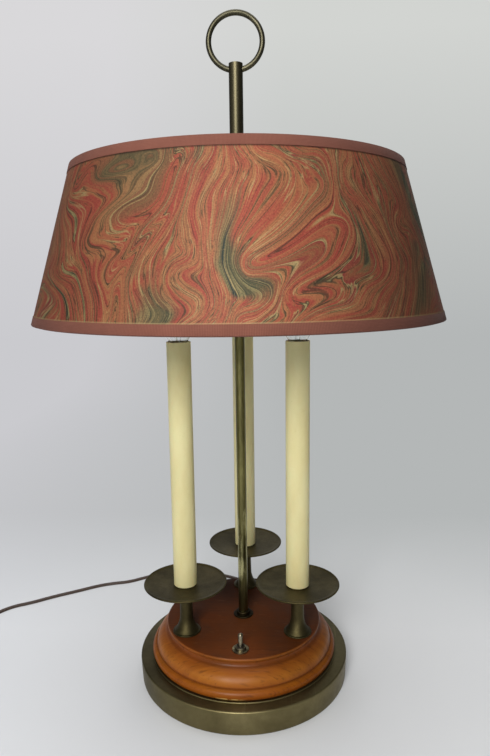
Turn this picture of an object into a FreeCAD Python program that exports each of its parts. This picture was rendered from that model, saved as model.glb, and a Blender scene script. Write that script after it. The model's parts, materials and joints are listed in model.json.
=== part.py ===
import FreeCAD, Part
import math
import os

from FreeCAD import Vector

# Three-candle table lamp with a sliding shade. Millimetres, +Z up.
# The origin is on the table, under the middle of the base.

# Running and assembly clearances
slide_clearance = 0.05
bore_clearance = 0.1
seat_gap = 0.3

# How far a cutter reaches past the face that it cuts
overrun = 1.0

# Base plate: a shallow spun brass tray, turned over
plate_r = 105.0
plate_foot_r = 104.0
plate_height = 23.3
plate_wall = 2.0
plate_edge_round = 1.2
foot_lift = 0.3
seat_r = 93.4
seat_rise = 0.9

# Felt and the board it is glued to
felt_thick = 1.8
board_thick = 1.4
board_margin = 1.3

# Iron weight under the plate
weight_r = 75.0
weight_thick = 9.0

# Wooden plinth
wood_top = 56.0
wood_foot_r = 90.6
torus_r = 93.0
torus_top = 33.4
step_r = 88.6
ovolo_top = 46.6
ovolo_neck_r = 79.6
cove_r = 76.2
bead_r = 77.8
bead_size = 1.3
quirk = 0.3
quirk_rise = 1.6
ovolo_mid_in = 3.2
ovolo_mid_down = 3.3
edge_step = 0.9
recess_r = 72.0
web = 9.0

# Screws that hold the plinth to the plate
plinth_screw_r = 2.0
plinth_screw_head_r = 3.8
plinth_screw_head = 2.2
plinth_screw_grip = 9.0
plinth_screw_angles = (30.0, 150.0, 270.0)

# Column, its foot collar and its nut
rod_r = 4.75
rod_bore_r = 3.2
rod_top = 505.0
collar_r = 9.6
collar_neck_r = 7.0
collar_height = 4.6
collar_flange = 1.5
nut_across = 16.0
nut_thick = 4.5
washer_r = 13.0
washer_thick = 1.2
rod_tail = 0.5

# Candles: three on a circle, one at the back
candle_ring_r = 62.6
candle_names = ("back", "left", "right")
candle_angles = (90.0, 210.0, 330.0)
foot_r = 13.3
foot_flange = 1.5
foot_flange_swell = 0.4
foot_sweep_r = 8.3
foot_sweep_rise = 7.5
foot_neck_rise = 17.7
foot_neck_swell = 0.5
neck_r = 5.8
foot_flare = 9.3
foot_flare_mid_r = 6.45
foot_flare_mid = 4.2
foot_top_r = 8.4
foot_height = 48.2
pan_r = 40.0
pan_thick = 1.0
pan_flat_r = 12.5
pan_depth = 2.6
pan_sag = 0.94
pan_lip = 0.9
seat_ring_r = 10.2
seat_flange_r = 10.8
seat_flange = 0.8
seat_ring_height = 5.0
sleeve_r = 11.13
sleeve_wall = 0.8
sleeve_length = 235.0
pipe_r = 4.5
pipe_bore_r = 3.2
pipe_tail = 5.0
pipe_nut_across = 13.0
pipe_nut_thick = 3.5

# Sockets and bulbs
socket_r = 9.7
socket_length = 44.0
socket_below_rim = 2.6
socket_grip = 10.0
cap_r = 5.85
cap_length = 20.0
cap_clearance = 0.12
bulb_neck_r = 6.6
bulb_swell_r = 13.3
bulb_r = 15.5
bulb_wide_at = 25.0
bulb_taper_r = 11.8
bulb_taper_rise = 26.6
bulb_length = 84.0
bulb_wall = 0.8
bulb_tip_r = 1.4
bulb_tip_thick = 5.6
bulb_pole_r = 0.3

# Toggle switch in front of the column
switch_bush_r = 3.9
switch_bush_rise = 4.6
switch_washer_r = 7.7
switch_washer_thick = 1.3
switch_nut_r = 5.4
switch_nut_thick = 2.6
switch_nut_chamfer = 0.6
switch_body_r = 8.4
switch_body_depth = 17.0
switch_bore_r = 3.1
lever_ball_r = 2.5
lever_root_r = 1.9
lever_tip_r = 2.5
lever_length = 10.8
lever_lean = 14.0

# Sliding tube with its ring
tube_r = 6.35
tube_bottom = 388.0
tube_top = 586.7
cap_depth = 16.0
ring_r = 24.0
ring_wire_r = 2.5
ring_below_top = 5.6
clamp_r = 10.5
clamp_height = 14.0
screw_r = 2.0
screw_reach = 15.0
screw_head_r = 6.5
screw_head_length = 8.0
screw_flutes = 18
screw_flute_r = 0.55
screw_angle = 30.0

# Shade and its carrier
shade_bottom = 360.0
shade_height = 134.0
shade_bottom_r = 187.0
shade_top_r = 148.3
paper_thick = 1.0
wire_r = 1.2
tape_thick = 0.4
tape_outside = 7.5
tape_inside = 6.5
shoulder_z = 470.0
shoulder_r = 10.5
shoulder_height = 4.0
hub_r = 14.0
hub_thick = 3.0
knurl_r = 11.0
knurl_thick = 6.0
arm_r = 1.5
arm_angles = (30.0, 150.0, 270.0)
arm_rise_at = 12.0
arm_rise_share = 0.4

# Inside wiring
lead_r = 1.5
lead_height = 33.0
lead_drop = 7.0
splice_r = 4.6
splice_mouth_r = 3.3
splice_length = 15.0
splice_at = 31.0
lead_bend = 2.5
lead_bend_run = 9.1
tail_hole_r = 5.0
tail_hole_x = -24.0
tail_hole_y = 46.0
tail_height = 7.0
tail_run = 18.0
tail_turn = 6.0
tail_start_run = 10.0
tail_side_step = 8.0

# Mains cord: its points are chosen by hand, as it lies on the table
cord_r = 2.6
cord_gap = 0.7
arc_share = 0.45
bushing_r = 5.0
bushing_height = 9.2
relief_length = 24.6
relief_root_r = 4.2
relief_tip_r = 3.3
relief_flange = 1.6
relief_end = 1.0
relief_end_chamfer = 0.6
cord_route = (
    (0.0, 129.0, 9.2),
    (0.0, 145.0, 9.2),
    (-5.0, 165.5, 6.0),
    (-22.0, 184.0, 2.6),
    (-49.0, 196.5, 2.6),
    (-82.0, 201.5, 2.6),
    (-115.0, 197.5, 2.6),
    (-139.0, 184.0, 2.6),
    (-159.5, 170.5, 2.6),
    (-177.5, 166.5, 2.6),
    (-196.5, 160.0, 2.6),
    (-221.0, 145.0, 2.6),
    (-248.0, 130.0, 2.6),
    (-270.5, 114.5, 2.6),
    (-290.0, 105.5, 2.6),
    (-304.0, 89.5, 2.6),
    (-310.0, 68.5, 2.6),
    (-310.0, 45.2, 2.6),
)
coil_x = -351.0
coil_y = 40.0
coil_start_r = 41.0
coil_turns = 3.25
climb_turns = 0.5
climb_dip = 1.5
coil_start_length = 5.2
coil_end_length = 25.6
gap_sample = 1.5
gap_skip = 20.8
plug_wide = 24.0
plug_long = 34.0
plug_grip = 15.3
plug_neck_share = 0.55
blade_wide = 6.35
blade_thick = 1.5
blade_long = 17.0
blade_spacing = 12.7

# Levels that follow from the sizes above
plate_under = plate_height - plate_wall
seat_top = plate_height + seat_rise
weight_bottom = plate_under - weight_thick
recess_top = wood_top - web
washer_bottom = weight_bottom - washer_thick
nut_bottom = washer_bottom - nut_thick
board_top = felt_thick + board_thick
pan_under = wood_top + foot_height
pan_floor = pan_under + pan_thick
sleeve_bottom = pan_floor + seat_flange
sleeve_top = sleeve_bottom + sleeve_length
socket_top = sleeve_top - socket_below_rim
socket_bottom = socket_top - socket_length
pipe_top = socket_bottom + socket_grip
pipe_bottom = recess_top - pipe_tail
tube_bore_r = rod_r + slide_clearance
shade_top = shade_bottom + shade_height
hub_bottom = shoulder_z + shoulder_height
hub_top = hub_bottom + hub_thick
clamp_z = tube_bottom + clamp_height / 2
ring_z = tube_top - ring_below_top + ring_r
cord_pitch = 2 * cord_r + cord_gap
plug_z = cord_r + cord_pitch


# Shape helpers

def turned(start, *steps):
    """A solid turned about the Z axis. Each step is a line's end (r, z) or an arc's middle and end."""
    edges = []
    here = Vector(start[0], 0, start[1])
    for step in steps:
        points = [Vector(r, 0, z) for r, z in (step if isinstance(step[0], tuple) else (step,))]
        edges.append(Part.Arc(here, *points).toShape() if len(points) == 2
                     else Part.LineSegment(here, points[0]).toShape())
        here = points[-1]
    first = Vector(start[0], 0, start[1])
    if here.distanceToPoint(first) > 1e-7:
        edges.append(Part.LineSegment(here, first).toShape())
    face = Part.Face(Part.Wire(edges))
    return face.revolve(Vector(), Vector(0, 0, 1), 360)


def round_corner(r, z, size):
    """The middle of a quarter round of that size in an outer, upper corner."""
    inset = size * (1 - math.sqrt(0.5))
    return r - inset, z - inset


def rod(radius, low, high, x=0.0, y=0.0):
    return Part.makeCylinder(radius, high - low, Vector(x, y, low))


def pipe(outer, inner, low, high):
    return rod(outer, low, high).cut(rod(inner, low - overrun, high + overrun))


def hexagon(across, low, high):
    corner = across / math.sqrt(3)
    points = [Vector(corner * math.cos(math.radians(60 * k)), corner * math.sin(math.radians(60 * k)), low)
              for k in range(7)]
    return Part.Face(Part.makePolygon(points)).extrude(Vector(0, 0, high - low))


def arc_from(start, corner, end):
    """The arc that leaves start towards corner and arrives at end from corner."""
    half = (corner - start).getAngle(end - corner) / 2
    middle = (start + end) * 0.5
    share = math.cos(half) / (1 + math.cos(half))
    return Part.Arc(start, middle + (corner - middle) * share, end).toShape()


def sweep(edges, radius):
    start = edges[0].valueAt(edges[0].FirstParameter)
    heading = edges[0].tangentAt(edges[0].FirstParameter)
    ring = Part.Wire([Part.Circle(start, heading, radius).toShape()])
    return Part.Wire(edges).makePipeShell([ring], True, False)


def tube_along(route, radius, name):
    """A round tube of straight runs joined by arcs as large as each pair of runs allows."""
    points = [Vector(*p) for p in route]
    edges = []
    here = points[0]
    tightest = math.inf
    for before, corner, after in zip(points, points[1:], points[2:]):
        run_in = corner - before
        run_out = after - corner
        turn = run_in.getAngle(run_out)
        reach = arc_share * min(run_in.Length, run_out.Length)
        tightest = min(tightest, reach / math.tan(turn / 2))
        start = corner - run_in.normalize() * reach
        end = corner + run_out.normalize() * reach
        edges += [Part.LineSegment(here, start).toShape(), arc_from(start, corner, end)]
        here = end
    edges.append(Part.LineSegment(here, points[-1]).toShape())
    solid = sweep(edges, radius)
    length = sum(e.Length for e in edges)
    print(name, "length %.1f, tightest arc %.1f," % (length, tightest),
          "volume over section x length %.4f" % (solid.Volume / (math.pi * radius ** 2 * length)))
    return solid


def biarc(start, heading, end, arriving):
    """Two arcs from start, leaving along heading, to end, arriving along arriving."""
    chord = end - start
    both = heading + arriving
    spare = 2 * (1 - heading.dot(arriving))
    reach = (math.sqrt(chord.dot(both) ** 2 + spare * chord.dot(chord)) - chord.dot(both)) / spare
    first = start + heading * reach
    second = end - arriving * reach
    joint = (first + second) * 0.5
    return [arc_from(start, first, joint), arc_from(joint, second, end)]


def turned_about(shape, angle):
    copy = shape.copy()
    copy.rotate(Vector(), Vector(0, 0, 1), angle)
    return copy


def at_candle(shape, angle):
    """A shape built on the Z axis, moved to a candle's place on the plinth."""
    copy = shape.copy()
    copy.translate(Vector(candle_ring_r, 0, 0))
    return turned_about(copy, angle)


def at_each_candle(shape):
    return Part.makeCompound([at_candle(shape, angle) for angle in candle_angles])


parts = {}

# Base plate with its raised seat, the hole for the rod, for the wires and for the cord bushing
plate = turned(
    (plate_foot_r - plate_wall, foot_lift),
    (plate_foot_r, foot_lift),
    (plate_r, plate_height - plate_edge_round),
    (round_corner(plate_r, plate_height, plate_edge_round), (plate_r - plate_edge_round, plate_height)),
    (seat_r, plate_height),
    (seat_r, seat_top - seat_rise / 2),
    (round_corner(seat_r, seat_top, seat_rise / 2), (seat_r - seat_rise / 2, seat_top)),
    (rod_r + bore_clearance, seat_top),
    (rod_r + bore_clearance, plate_under),
    (plate_foot_r - plate_wall - board_margin, plate_under),
    (plate_foot_r - plate_wall - board_margin, board_top),
    (plate_foot_r - plate_wall, board_top),
)
bushing_hole = Part.makeCylinder(bushing_r, 3 * relief_flange + plate_wall,
                                 Vector(0, plate_foot_r - plate_wall - 2 * relief_flange, bushing_height),
                                 Vector(0, 1, 0))
tail_hole = rod(tail_hole_r, 0, wood_top - web, tail_hole_x, tail_hole_y)
parts["base_plate"] = plate.cut(bushing_hole).cut(tail_hole)

felt_r = plate_foot_r - plate_wall - board_margin
parts["felt_pad"] = rod(felt_r, 0, felt_thick)
parts["bottom_board"] = rod(plate_foot_r - plate_wall - bore_clearance, felt_thick, board_top)
parts["base_weight"] = pipe(weight_r, rod_r + bore_clearance, weight_bottom, plate_under).cut(tail_hole)

# Plinth: a turned block with a bead, a cove, an ovolo and a torus, hollow underneath
torus_mid = (seat_top + torus_top) / 2
ovolo_low = torus_top + quirk_rise
bead_mid = wood_top - bead_size
plinth = turned(
    (recess_r, seat_top),
    (wood_foot_r, seat_top),
    ((torus_r, torus_mid), (wood_foot_r, torus_top - edge_step)),
    (wood_foot_r - edge_step, torus_top),
    (step_r, torus_top),
    ((step_r + quirk, ovolo_low), (step_r - quirk, ovolo_low + quirk_rise)),
    ((step_r - ovolo_mid_in, ovolo_top - ovolo_mid_down), (ovolo_neck_r, ovolo_top)),
    (ovolo_neck_r - edge_step, ovolo_top + edge_step / 2),
    ((cove_r, (ovolo_top + bead_mid) / 2), (bead_r - bead_size / 2, bead_mid - bead_size)),
    ((bead_r, bead_mid), (bead_r - bead_size, wood_top)),
    (rod_r + bore_clearance, wood_top),
    (rod_r + bore_clearance, recess_top),
    (recess_r, recess_top),
)
pipe_hole = rod(pipe_r + bore_clearance, recess_top - overrun, wood_top + overrun)
switch_hole = rod(switch_bush_r + bore_clearance, recess_top - overrun, wood_top + overrun, 0, -candle_ring_r)
for angle in candle_angles:
    plinth = plinth.cut(at_candle(pipe_hole, angle))
parts["wood_plinth"] = plinth.cut(switch_hole)

# Screws that hold the plinth to the plate, up through the plate's rim of the seat
plinth_screw_ring_r = (recess_r + wood_foot_r) / 2
screw_profile = rod(plinth_screw_r, plate_under, seat_top + plinth_screw_grip).fuse(
    rod(plinth_screw_head_r, plate_under - plinth_screw_head, plate_under))
screws = []
for angle in plinth_screw_angles:
    hole = rod(plinth_screw_r, plate_under - overrun, seat_top + plinth_screw_grip, plinth_screw_ring_r)
    hole = turned_about(hole, angle)
    parts["base_plate"] = parts["base_plate"].cut(hole)
    parts["wood_plinth"] = parts["wood_plinth"].cut(hole)
    screw = screw_profile.copy()
    screw.translate(Vector(plinth_screw_ring_r, 0, 0))
    screws.append(turned_about(screw, angle))
parts["plinth_screws"] = Part.makeCompound(screws)

# Column rod, clamped through plinth, plate and weight between its collar and its nut
rod_bottom = nut_bottom - rod_tail
collar_top = wood_top + collar_height
parts["column_rod"] = pipe(rod_r, rod_bore_r, rod_bottom, rod_top)
parts["column_collar"] = turned(
    (rod_r, wood_top),
    (collar_r, wood_top),
    ((collar_r + collar_flange / 3, wood_top + collar_flange / 2), (collar_r, wood_top + collar_flange)),
    (collar_neck_r, wood_top + collar_flange),
    (collar_neck_r, collar_top - collar_flange / 2),
    (round_corner(collar_neck_r, collar_top, collar_flange / 2),
     (collar_neck_r - collar_flange / 2, collar_top)),
    (rod_r, collar_top),
)
parts["column_washer"] = pipe(washer_r, rod_r + bore_clearance, washer_bottom, weight_bottom)
parts["column_nut"] = hexagon(nut_across, nut_bottom, washer_bottom).cut(rod(rod_r, 0, wood_top))

# One candle, built on the Z axis: foot, drip pan, riser pipe, seat ring, sleeve, socket and bulb
candle_foot = turned(
    (pipe_r + bore_clearance, wood_top),
    (foot_r, wood_top),
    ((foot_r + foot_flange_swell, wood_top + foot_flange / 2), (foot_r, wood_top + foot_flange)),
    (foot_r - foot_flange, wood_top + foot_flange),
    ((foot_sweep_r, wood_top + foot_sweep_rise), (neck_r + foot_neck_swell, wood_top + foot_neck_rise)),
    (neck_r, pan_under - foot_flare),
    ((foot_flare_mid_r, pan_under - foot_flare_mid), (foot_top_r, pan_under - pan_thick)),
    (foot_top_r, pan_under),
    (pipe_r + bore_clearance, pan_under),
)
pan_mid_r = (pan_flat_r + pan_r) / 2
pan_rim = pan_floor + pan_depth
drip_pan = turned(
    (pipe_r + bore_clearance, pan_under),
    (pan_flat_r, pan_under),
    ((pan_mid_r, pan_under + pan_sag), (pan_r - pan_lip, pan_under + pan_depth)),
    ((pan_r, pan_rim - pan_thick / 2), (pan_r - pan_lip, pan_rim)),
    ((pan_mid_r, pan_floor + pan_sag), (pan_flat_r, pan_floor)),
    (pipe_r + bore_clearance, pan_floor),
)
riser = pipe(pipe_r, pipe_bore_r, pipe_bottom, pipe_top)
seat_ring = turned(
    (pipe_r, pan_floor),
    (seat_flange_r, pan_floor),
    (seat_flange_r, sleeve_bottom),
    (seat_ring_r, sleeve_bottom),
    (seat_ring_r, pan_floor + seat_ring_height),
    (pipe_r, pan_floor + seat_ring_height),
)
sleeve = pipe(sleeve_r, sleeve_r - sleeve_wall, sleeve_bottom, sleeve_top)
socket_floor = socket_top - cap_length - cap_clearance
socket = rod(socket_r, socket_bottom, socket_top)
socket = socket.cut(rod(cap_r + cap_clearance, socket_floor, socket_top + overrun))
socket = socket.cut(rod(pipe_r, socket_bottom - overrun, pipe_top))
socket = socket.cut(rod(lead_r + bore_clearance, pipe_top - overrun, pipe_top + socket_grip / 2))
bulb_cap = rod(cap_r, socket_floor + cap_clearance, socket_top).cut(
    rod(cap_r - bulb_wall, socket_floor + 2 * bulb_wall, socket_top + overrun))
bulb_bottom = socket_top
bulb_shoulder = bulb_bottom + bulb_wide_at
bulb_top = bulb_bottom + bulb_length
bulb_taper_z = bulb_shoulder + bulb_taper_rise
bulb = turned(
    (bulb_neck_r - bulb_wall, bulb_bottom),
    (bulb_neck_r, bulb_bottom),
    ((bulb_swell_r, bulb_bottom + bulb_wide_at / 2), (bulb_r, bulb_shoulder)),
    ((bulb_taper_r, bulb_taper_z), (2 * bulb_tip_r, bulb_top - 3 * bulb_tip_r)),
    ((bulb_tip_r, bulb_top - bulb_tip_r), (bulb_pole_r, bulb_top)),
    (0, bulb_top),
    (0, bulb_top - bulb_tip_thick),
    (2 * bulb_pole_r, bulb_top - bulb_tip_thick),
    ((bulb_taper_r - bulb_wall, bulb_taper_z), (bulb_r - bulb_wall, bulb_shoulder)),
    ((bulb_swell_r - bulb_wall, bulb_bottom + bulb_wide_at / 2), (bulb_neck_r - bulb_wall, bulb_bottom)),
)
for name, angle in zip(candle_names, candle_angles):
    parts["candle_foot_" + name] = at_candle(candle_foot, angle)
    parts["drip_pan_" + name] = at_candle(drip_pan, angle)
    parts["riser_pipe_" + name] = at_candle(riser, angle)
    parts["candle_sleeve_" + name] = at_candle(sleeve, angle)
    parts["socket_" + name] = at_candle(socket, angle)
    parts["bulb_cap_" + name] = at_candle(bulb_cap, angle)
    parts["bulb_glass_" + name] = at_candle(bulb, angle)
pipe_nut = hexagon(pipe_nut_across, recess_top - pipe_nut_thick, recess_top).cut(rod(pipe_r, 0, wood_top))
parts["sleeve_seats"] = at_each_candle(seat_ring)
parts["pipe_locknuts"] = at_each_candle(pipe_nut)

# Toggle switch, at the front of the candle circle
switch_y = -candle_ring_r
switch_top = wood_top + switch_bush_rise
lever_pivot_z = switch_top - lever_ball_r
switch_bottom = recess_top - switch_body_depth
lever_well = lever_pivot_z - lever_ball_r - seat_gap
body = rod(switch_body_r, switch_bottom, recess_top, 0, switch_y)
body = body.fuse(rod(switch_bush_r, recess_top, switch_top, 0, switch_y))
parts["switch_body"] = body.cut(rod(switch_bore_r, lever_well, switch_top + overrun, 0, switch_y))
washer_top = wood_top + switch_washer_thick
parts["switch_washer"] = pipe(switch_washer_r, switch_bush_r, wood_top, washer_top)
parts["switch_washer"].translate(Vector(0, switch_y, 0))
nut_top = washer_top + switch_nut_thick
switch_nut = turned(
    (switch_bush_r, washer_top),
    (switch_nut_r, washer_top),
    (switch_nut_r, nut_top - switch_nut_chamfer),
    (switch_nut_r - switch_nut_chamfer, nut_top),
    (switch_bush_r, nut_top),
)
switch_nut.translate(Vector(0, switch_y, 0))
parts["switch_nut"] = switch_nut
lever = Part.makeSphere(lever_ball_r)
bat = Part.makeCone(lever_root_r, lever_tip_r, lever_length)
bat = bat.fuse(Part.makeSphere(lever_tip_r, Vector(0, 0, lever_length)))
lever = lever.fuse(bat).removeSplitter()
lever.rotate(Vector(), Vector(1, 0, 0), -lever_lean)
lever.translate(Vector(0, switch_y, lever_pivot_z))
parts["switch_lever"] = lever

# Leads from the sockets into the plinth, each to its splice
leads = []
splices = []
for angle in candle_angles:
    route = (
        (candle_ring_r, 0, pipe_top + socket_grip / 2),
        (candle_ring_r, 0, lead_height + lead_drop),
        (candle_ring_r - lead_bend, 0, lead_height + lead_bend),
        (candle_ring_r - lead_bend_run, 0, lead_height),
        (splice_at + splice_length, 0, lead_height),
    )
    lead = tube_along(route, lead_r, "socket lead")
    leads.append(turned_about(lead, angle))
    splice = Part.makeCone(splice_r, splice_mouth_r, splice_length,
                           Vector(splice_at, 0, lead_height), Vector(1, 0, 0))
    splices.append(turned_about(splice, angle))
parts["socket_leads"] = Part.makeCompound(leads)

# Supply tail: from the cord bushing, up through the plate and into its own splice
tail_splice = Part.makeCone(splice_r, splice_mouth_r, splice_length,
                            Vector(tail_hole_x, tail_hole_y - tail_run - splice_length, lead_height),
                            Vector(0, 1, 0))
splices.append(tail_splice)
parts["wire_splices"] = Part.makeCompound(splices)
bushing_inner = plate_foot_r - plate_wall - board_margin - relief_flange
parts["supply_tail"] = tube_along(
    (
        (0, bushing_inner, bushing_height),
        (0, bushing_inner - tail_start_run, bushing_height),
        (-tail_side_step, bushing_inner - 2 * tail_start_run - tail_turn / 2, tail_height),
        (tail_hole_x + tail_side_step / 2, tail_hole_y + tail_run, tail_height),
        (tail_hole_x, tail_hole_y, tail_height + tail_turn / 2),
        (tail_hole_x, tail_hole_y, lead_height - tail_turn),
        (tail_hole_x, tail_hole_y - tail_turn, lead_height),
        (tail_hole_x, tail_hole_y - tail_run, lead_height),
    ), lead_r, "supply tail")

# Cord bushing with its tapered relief
relief = turned(
    (0, 0),
    (bushing_r + relief_flange, 0),
    (bushing_r + relief_flange, relief_flange),
    (relief_root_r, relief_flange),
    (relief_tip_r, relief_length - relief_end),
    (relief_tip_r - relief_end_chamfer, relief_length),
    (0, relief_length),
)
relief.rotate(Vector(), Vector(1, 0, 0), -90)
relief.translate(Vector(0, cord_route[0][1] - relief_length, bushing_height))
neck = Part.makeCylinder(bushing_r, cord_route[0][1] - relief_length - bushing_inner,
                         Vector(0, bushing_inner, bushing_height), Vector(0, 1, 0))
parts["cord_bushing"] = relief.fuse(neck).removeSplitter().cut(
    parts["base_plate"]).cut(parts["bottom_board"])

# The cord on the table
parts["mains_cord"] = tube_along(cord_route, cord_r, "mains cord")


# The coil: in on the lower layer, up a layer in half a turn, and out again above

def coil_frame(turns):
    """Place and heading on the coil's line after so many turns, wound clockwise from +X."""
    climb = min(max((turns - coil_turns) / climb_turns, 0.0), 1.0)
    inward = min(turns, coil_turns)
    outward = max(turns - coil_turns - climb_turns, 0.0)
    radius = coil_start_r - cord_pitch * (inward - outward) - climb_dip * math.sin(math.pi * climb) ** 2
    angle = -2 * math.pi * turns
    drift = 0.0
    lift = 0.0
    if turns < coil_turns:
        drift = -cord_pitch / (2 * math.pi)
    elif turns > coil_turns + climb_turns:
        drift = cord_pitch / (2 * math.pi)
    if 0.0 < climb < 1.0:
        lift = cord_pitch / (2 * math.pi * climb_turns)
    place = Vector(coil_x + radius * math.cos(angle), coil_y + radius * math.sin(angle),
                   cord_r + cord_pitch * climb)
    heading = Vector(drift * math.cos(angle) + radius * math.sin(angle),
                     drift * math.sin(angle) - radius * math.cos(angle), lift)
    return place, heading.normalize()


quarter_turns = [k / 4 for k in range(int(4 * coil_turns) + 1)]
quarter_turns += [coil_turns + climb_turns / 2]
quarter_turns += [coil_turns + climb_turns + k / 4 for k in range(int(4 * coil_turns) + 1)]
frames = [coil_frame(turns) for turns in quarter_turns]
down = Vector(0, -1, 0)
frames[0] = (frames[0][0], down)
frames[-1] = (frames[-1][0], down)
flat = int(4 * coil_turns)
for k in (flat, flat + 2):
    place, heading = frames[k]
    frames[k] = (place, Vector(heading.x, heading.y, 0).normalize())
coil_in = frames[0][0] - down * coil_start_length
coil_out = frames[-1][0] + down * coil_end_length
coil_edges = [Part.LineSegment(coil_in, frames[0][0]).toShape()]
for (start, heading), (end, arriving) in zip(frames, frames[1:]):
    coil_edges += biarc(start, heading, end, arriving)
coil_edges.append(Part.LineSegment(frames[-1][0], coil_out).toShape())
parts["cord_coil"] = sweep(coil_edges, cord_r)
coil_length = sum(e.Length for e in coil_edges)
samples = []
along = 0.0
for edge in coil_edges:
    count = max(2, int(edge.Length / gap_sample))
    step = (edge.LastParameter - edge.FirstParameter) / count
    samples += [(along + edge.Length * k / count, edge.valueAt(edge.FirstParameter + step * k))
                for k in range(count)]
    along += edge.Length
least = min(a.distanceToPoint(b) for i, (s, a) in enumerate(samples)
            for t, b in samples[i + 1:] if t - s > gap_skip)
coil_share = parts["cord_coil"].Volume / (math.pi * cord_r ** 2 * coil_length)
print("cord coil length %.1f, least gap %.2f," % (coil_length, least - 2 * cord_r),
      "volume over section x length %.4f" % coil_share)

# Plug, lying on the table beside the coil, and its two blades
plug_end_y = coil_out.y


def plug_outline(y, share):
    """The plug's square outline at a place along it, drawn in to a share of its full size."""
    corners = ((-1, -1), (1, -1), (1, 1), (-1, 1), (-1, -1))
    return Part.makePolygon([Vector(coil_out.x + across * plug_wide / 2 * share, y, plug_z * (1 + up * share))
                             for across, up in corners])


plug = Part.makeLoft([plug_outline(plug_end_y, plug_neck_share), plug_outline(plug_end_y - plug_grip, 1)],
                     True, True)
plug = plug.fuse(Part.makeBox(plug_wide, plug_long - plug_grip, 2 * plug_z,
                              Vector(coil_out.x - plug_wide / 2, plug_end_y - plug_long, 0)))
plug = plug.removeSplitter()
blades = []
for side in (-1, 1):
    blade = Part.makeBox(blade_thick, blade_long, blade_wide,
                         Vector(coil_out.x + side * blade_spacing / 2 - blade_thick / 2,
                                plug_end_y - plug_long - blade_long, plug_z - blade_wide / 2))
    blades.append(blade)
parts["plug_body"] = plug
parts["plug_blades"] = Part.makeCompound(blades)

# Sliding tube: ring at the top, clamp collar at the bottom, shoulder for the shade
ring = Part.makeTorus(ring_r, ring_wire_r, Vector(0, 0, ring_z), Vector(0, 1, 0))
ring_hole = Part.makeTorus(ring_r, ring_wire_r + slide_clearance, Vector(0, 0, ring_z), Vector(0, 1, 0))
direction = Vector(math.cos(math.radians(screw_angle)), math.sin(math.radians(screw_angle)), 0)
screw_hole = Part.makeCylinder(screw_r + slide_clearance, 2 * clamp_r, Vector(0, 0, clamp_z), direction)
upper = pipe(tube_r, tube_bore_r, tube_bottom, tube_top)
parts["upper_tube"] = upper.cut(ring_hole).cut(screw_hole)
parts["tube_cap"] = rod(tube_bore_r, tube_top - cap_depth, tube_top).cut(ring_hole)
parts["lifting_ring"] = ring
parts["clamp_collar"] = pipe(clamp_r, tube_r, tube_bottom, tube_bottom + clamp_height).cut(screw_hole)
parts["shade_shoulder"] = pipe(shoulder_r, tube_r, shoulder_z, hub_bottom)
parts["shade_nut"] = pipe(knurl_r, tube_r, hub_top + slide_clearance, hub_top + knurl_thick)

# Thumb screw that bears on the rod through the collar
thumb = Part.makeCylinder(screw_r, screw_reach - rod_r - seat_gap, direction * (rod_r + seat_gap), direction)
head = Part.makeCylinder(screw_head_r, screw_head_length, direction * screw_reach, direction)
side = Vector(-direction.y, direction.x, 0)
for k in range(screw_flutes):
    turn = 2 * math.pi * k / screw_flutes
    edge = side * (screw_head_r * math.cos(turn)) + Vector(0, 0, screw_head_r * math.sin(turn))
    flute_start = direction * screw_reach + edge
    head = head.cut(Part.makeCylinder(screw_flute_r, screw_head_length, flute_start, direction))
thumb = thumb.fuse(head)
thumb.translate(Vector(0, 0, clamp_z))
parts["thumb_screw"] = thumb

# Shade: paper cone, a wire at each rim, tape folded over both, and the spider that carries it
slope = Vector(shade_top_r - shade_bottom_r, 0, shade_height).normalize()
outward = Vector(slope.z, 0, -slope.x)


def on_cone(rim_r, rim_z, up, out):
    """Radius and height of a point so far up the cone's wall and out from it, from a rim."""
    point = Vector(rim_r, 0, rim_z) + slope * up + outward * out
    return point.x, point.z


def tape(rim_r, rim_z, way):
    """Tape folded over a rim: way is 1 where the wall goes up from the rim, and -1 where it goes down."""
    half = paper_thick / 2
    inside = half + 2 * wire_r
    fold = -way * tape_thick
    corner = on_cone(rim_r, rim_z, 0, half)
    return turned(
        on_cone(rim_r, rim_z, fold, half + tape_thick),
        on_cone(rim_r, rim_z, way * tape_outside, half + tape_thick),
        on_cone(rim_r, rim_z, way * tape_outside, half),
        corner,
        on_cone(rim_r, rim_z, 0, -inside),
        on_cone(rim_r, rim_z, way * tape_inside, -inside),
        on_cone(rim_r, rim_z, way * tape_inside, -inside - tape_thick),
        on_cone(rim_r, rim_z, fold, -inside - tape_thick),
    )


def rim_wire(rim_r, rim_z, way):
    r, z = on_cone(rim_r, rim_z, way * wire_r, -paper_thick / 2 - wire_r)
    return Part.makeTorus(r, wire_r, Vector(0, 0, z)), r, z


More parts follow.
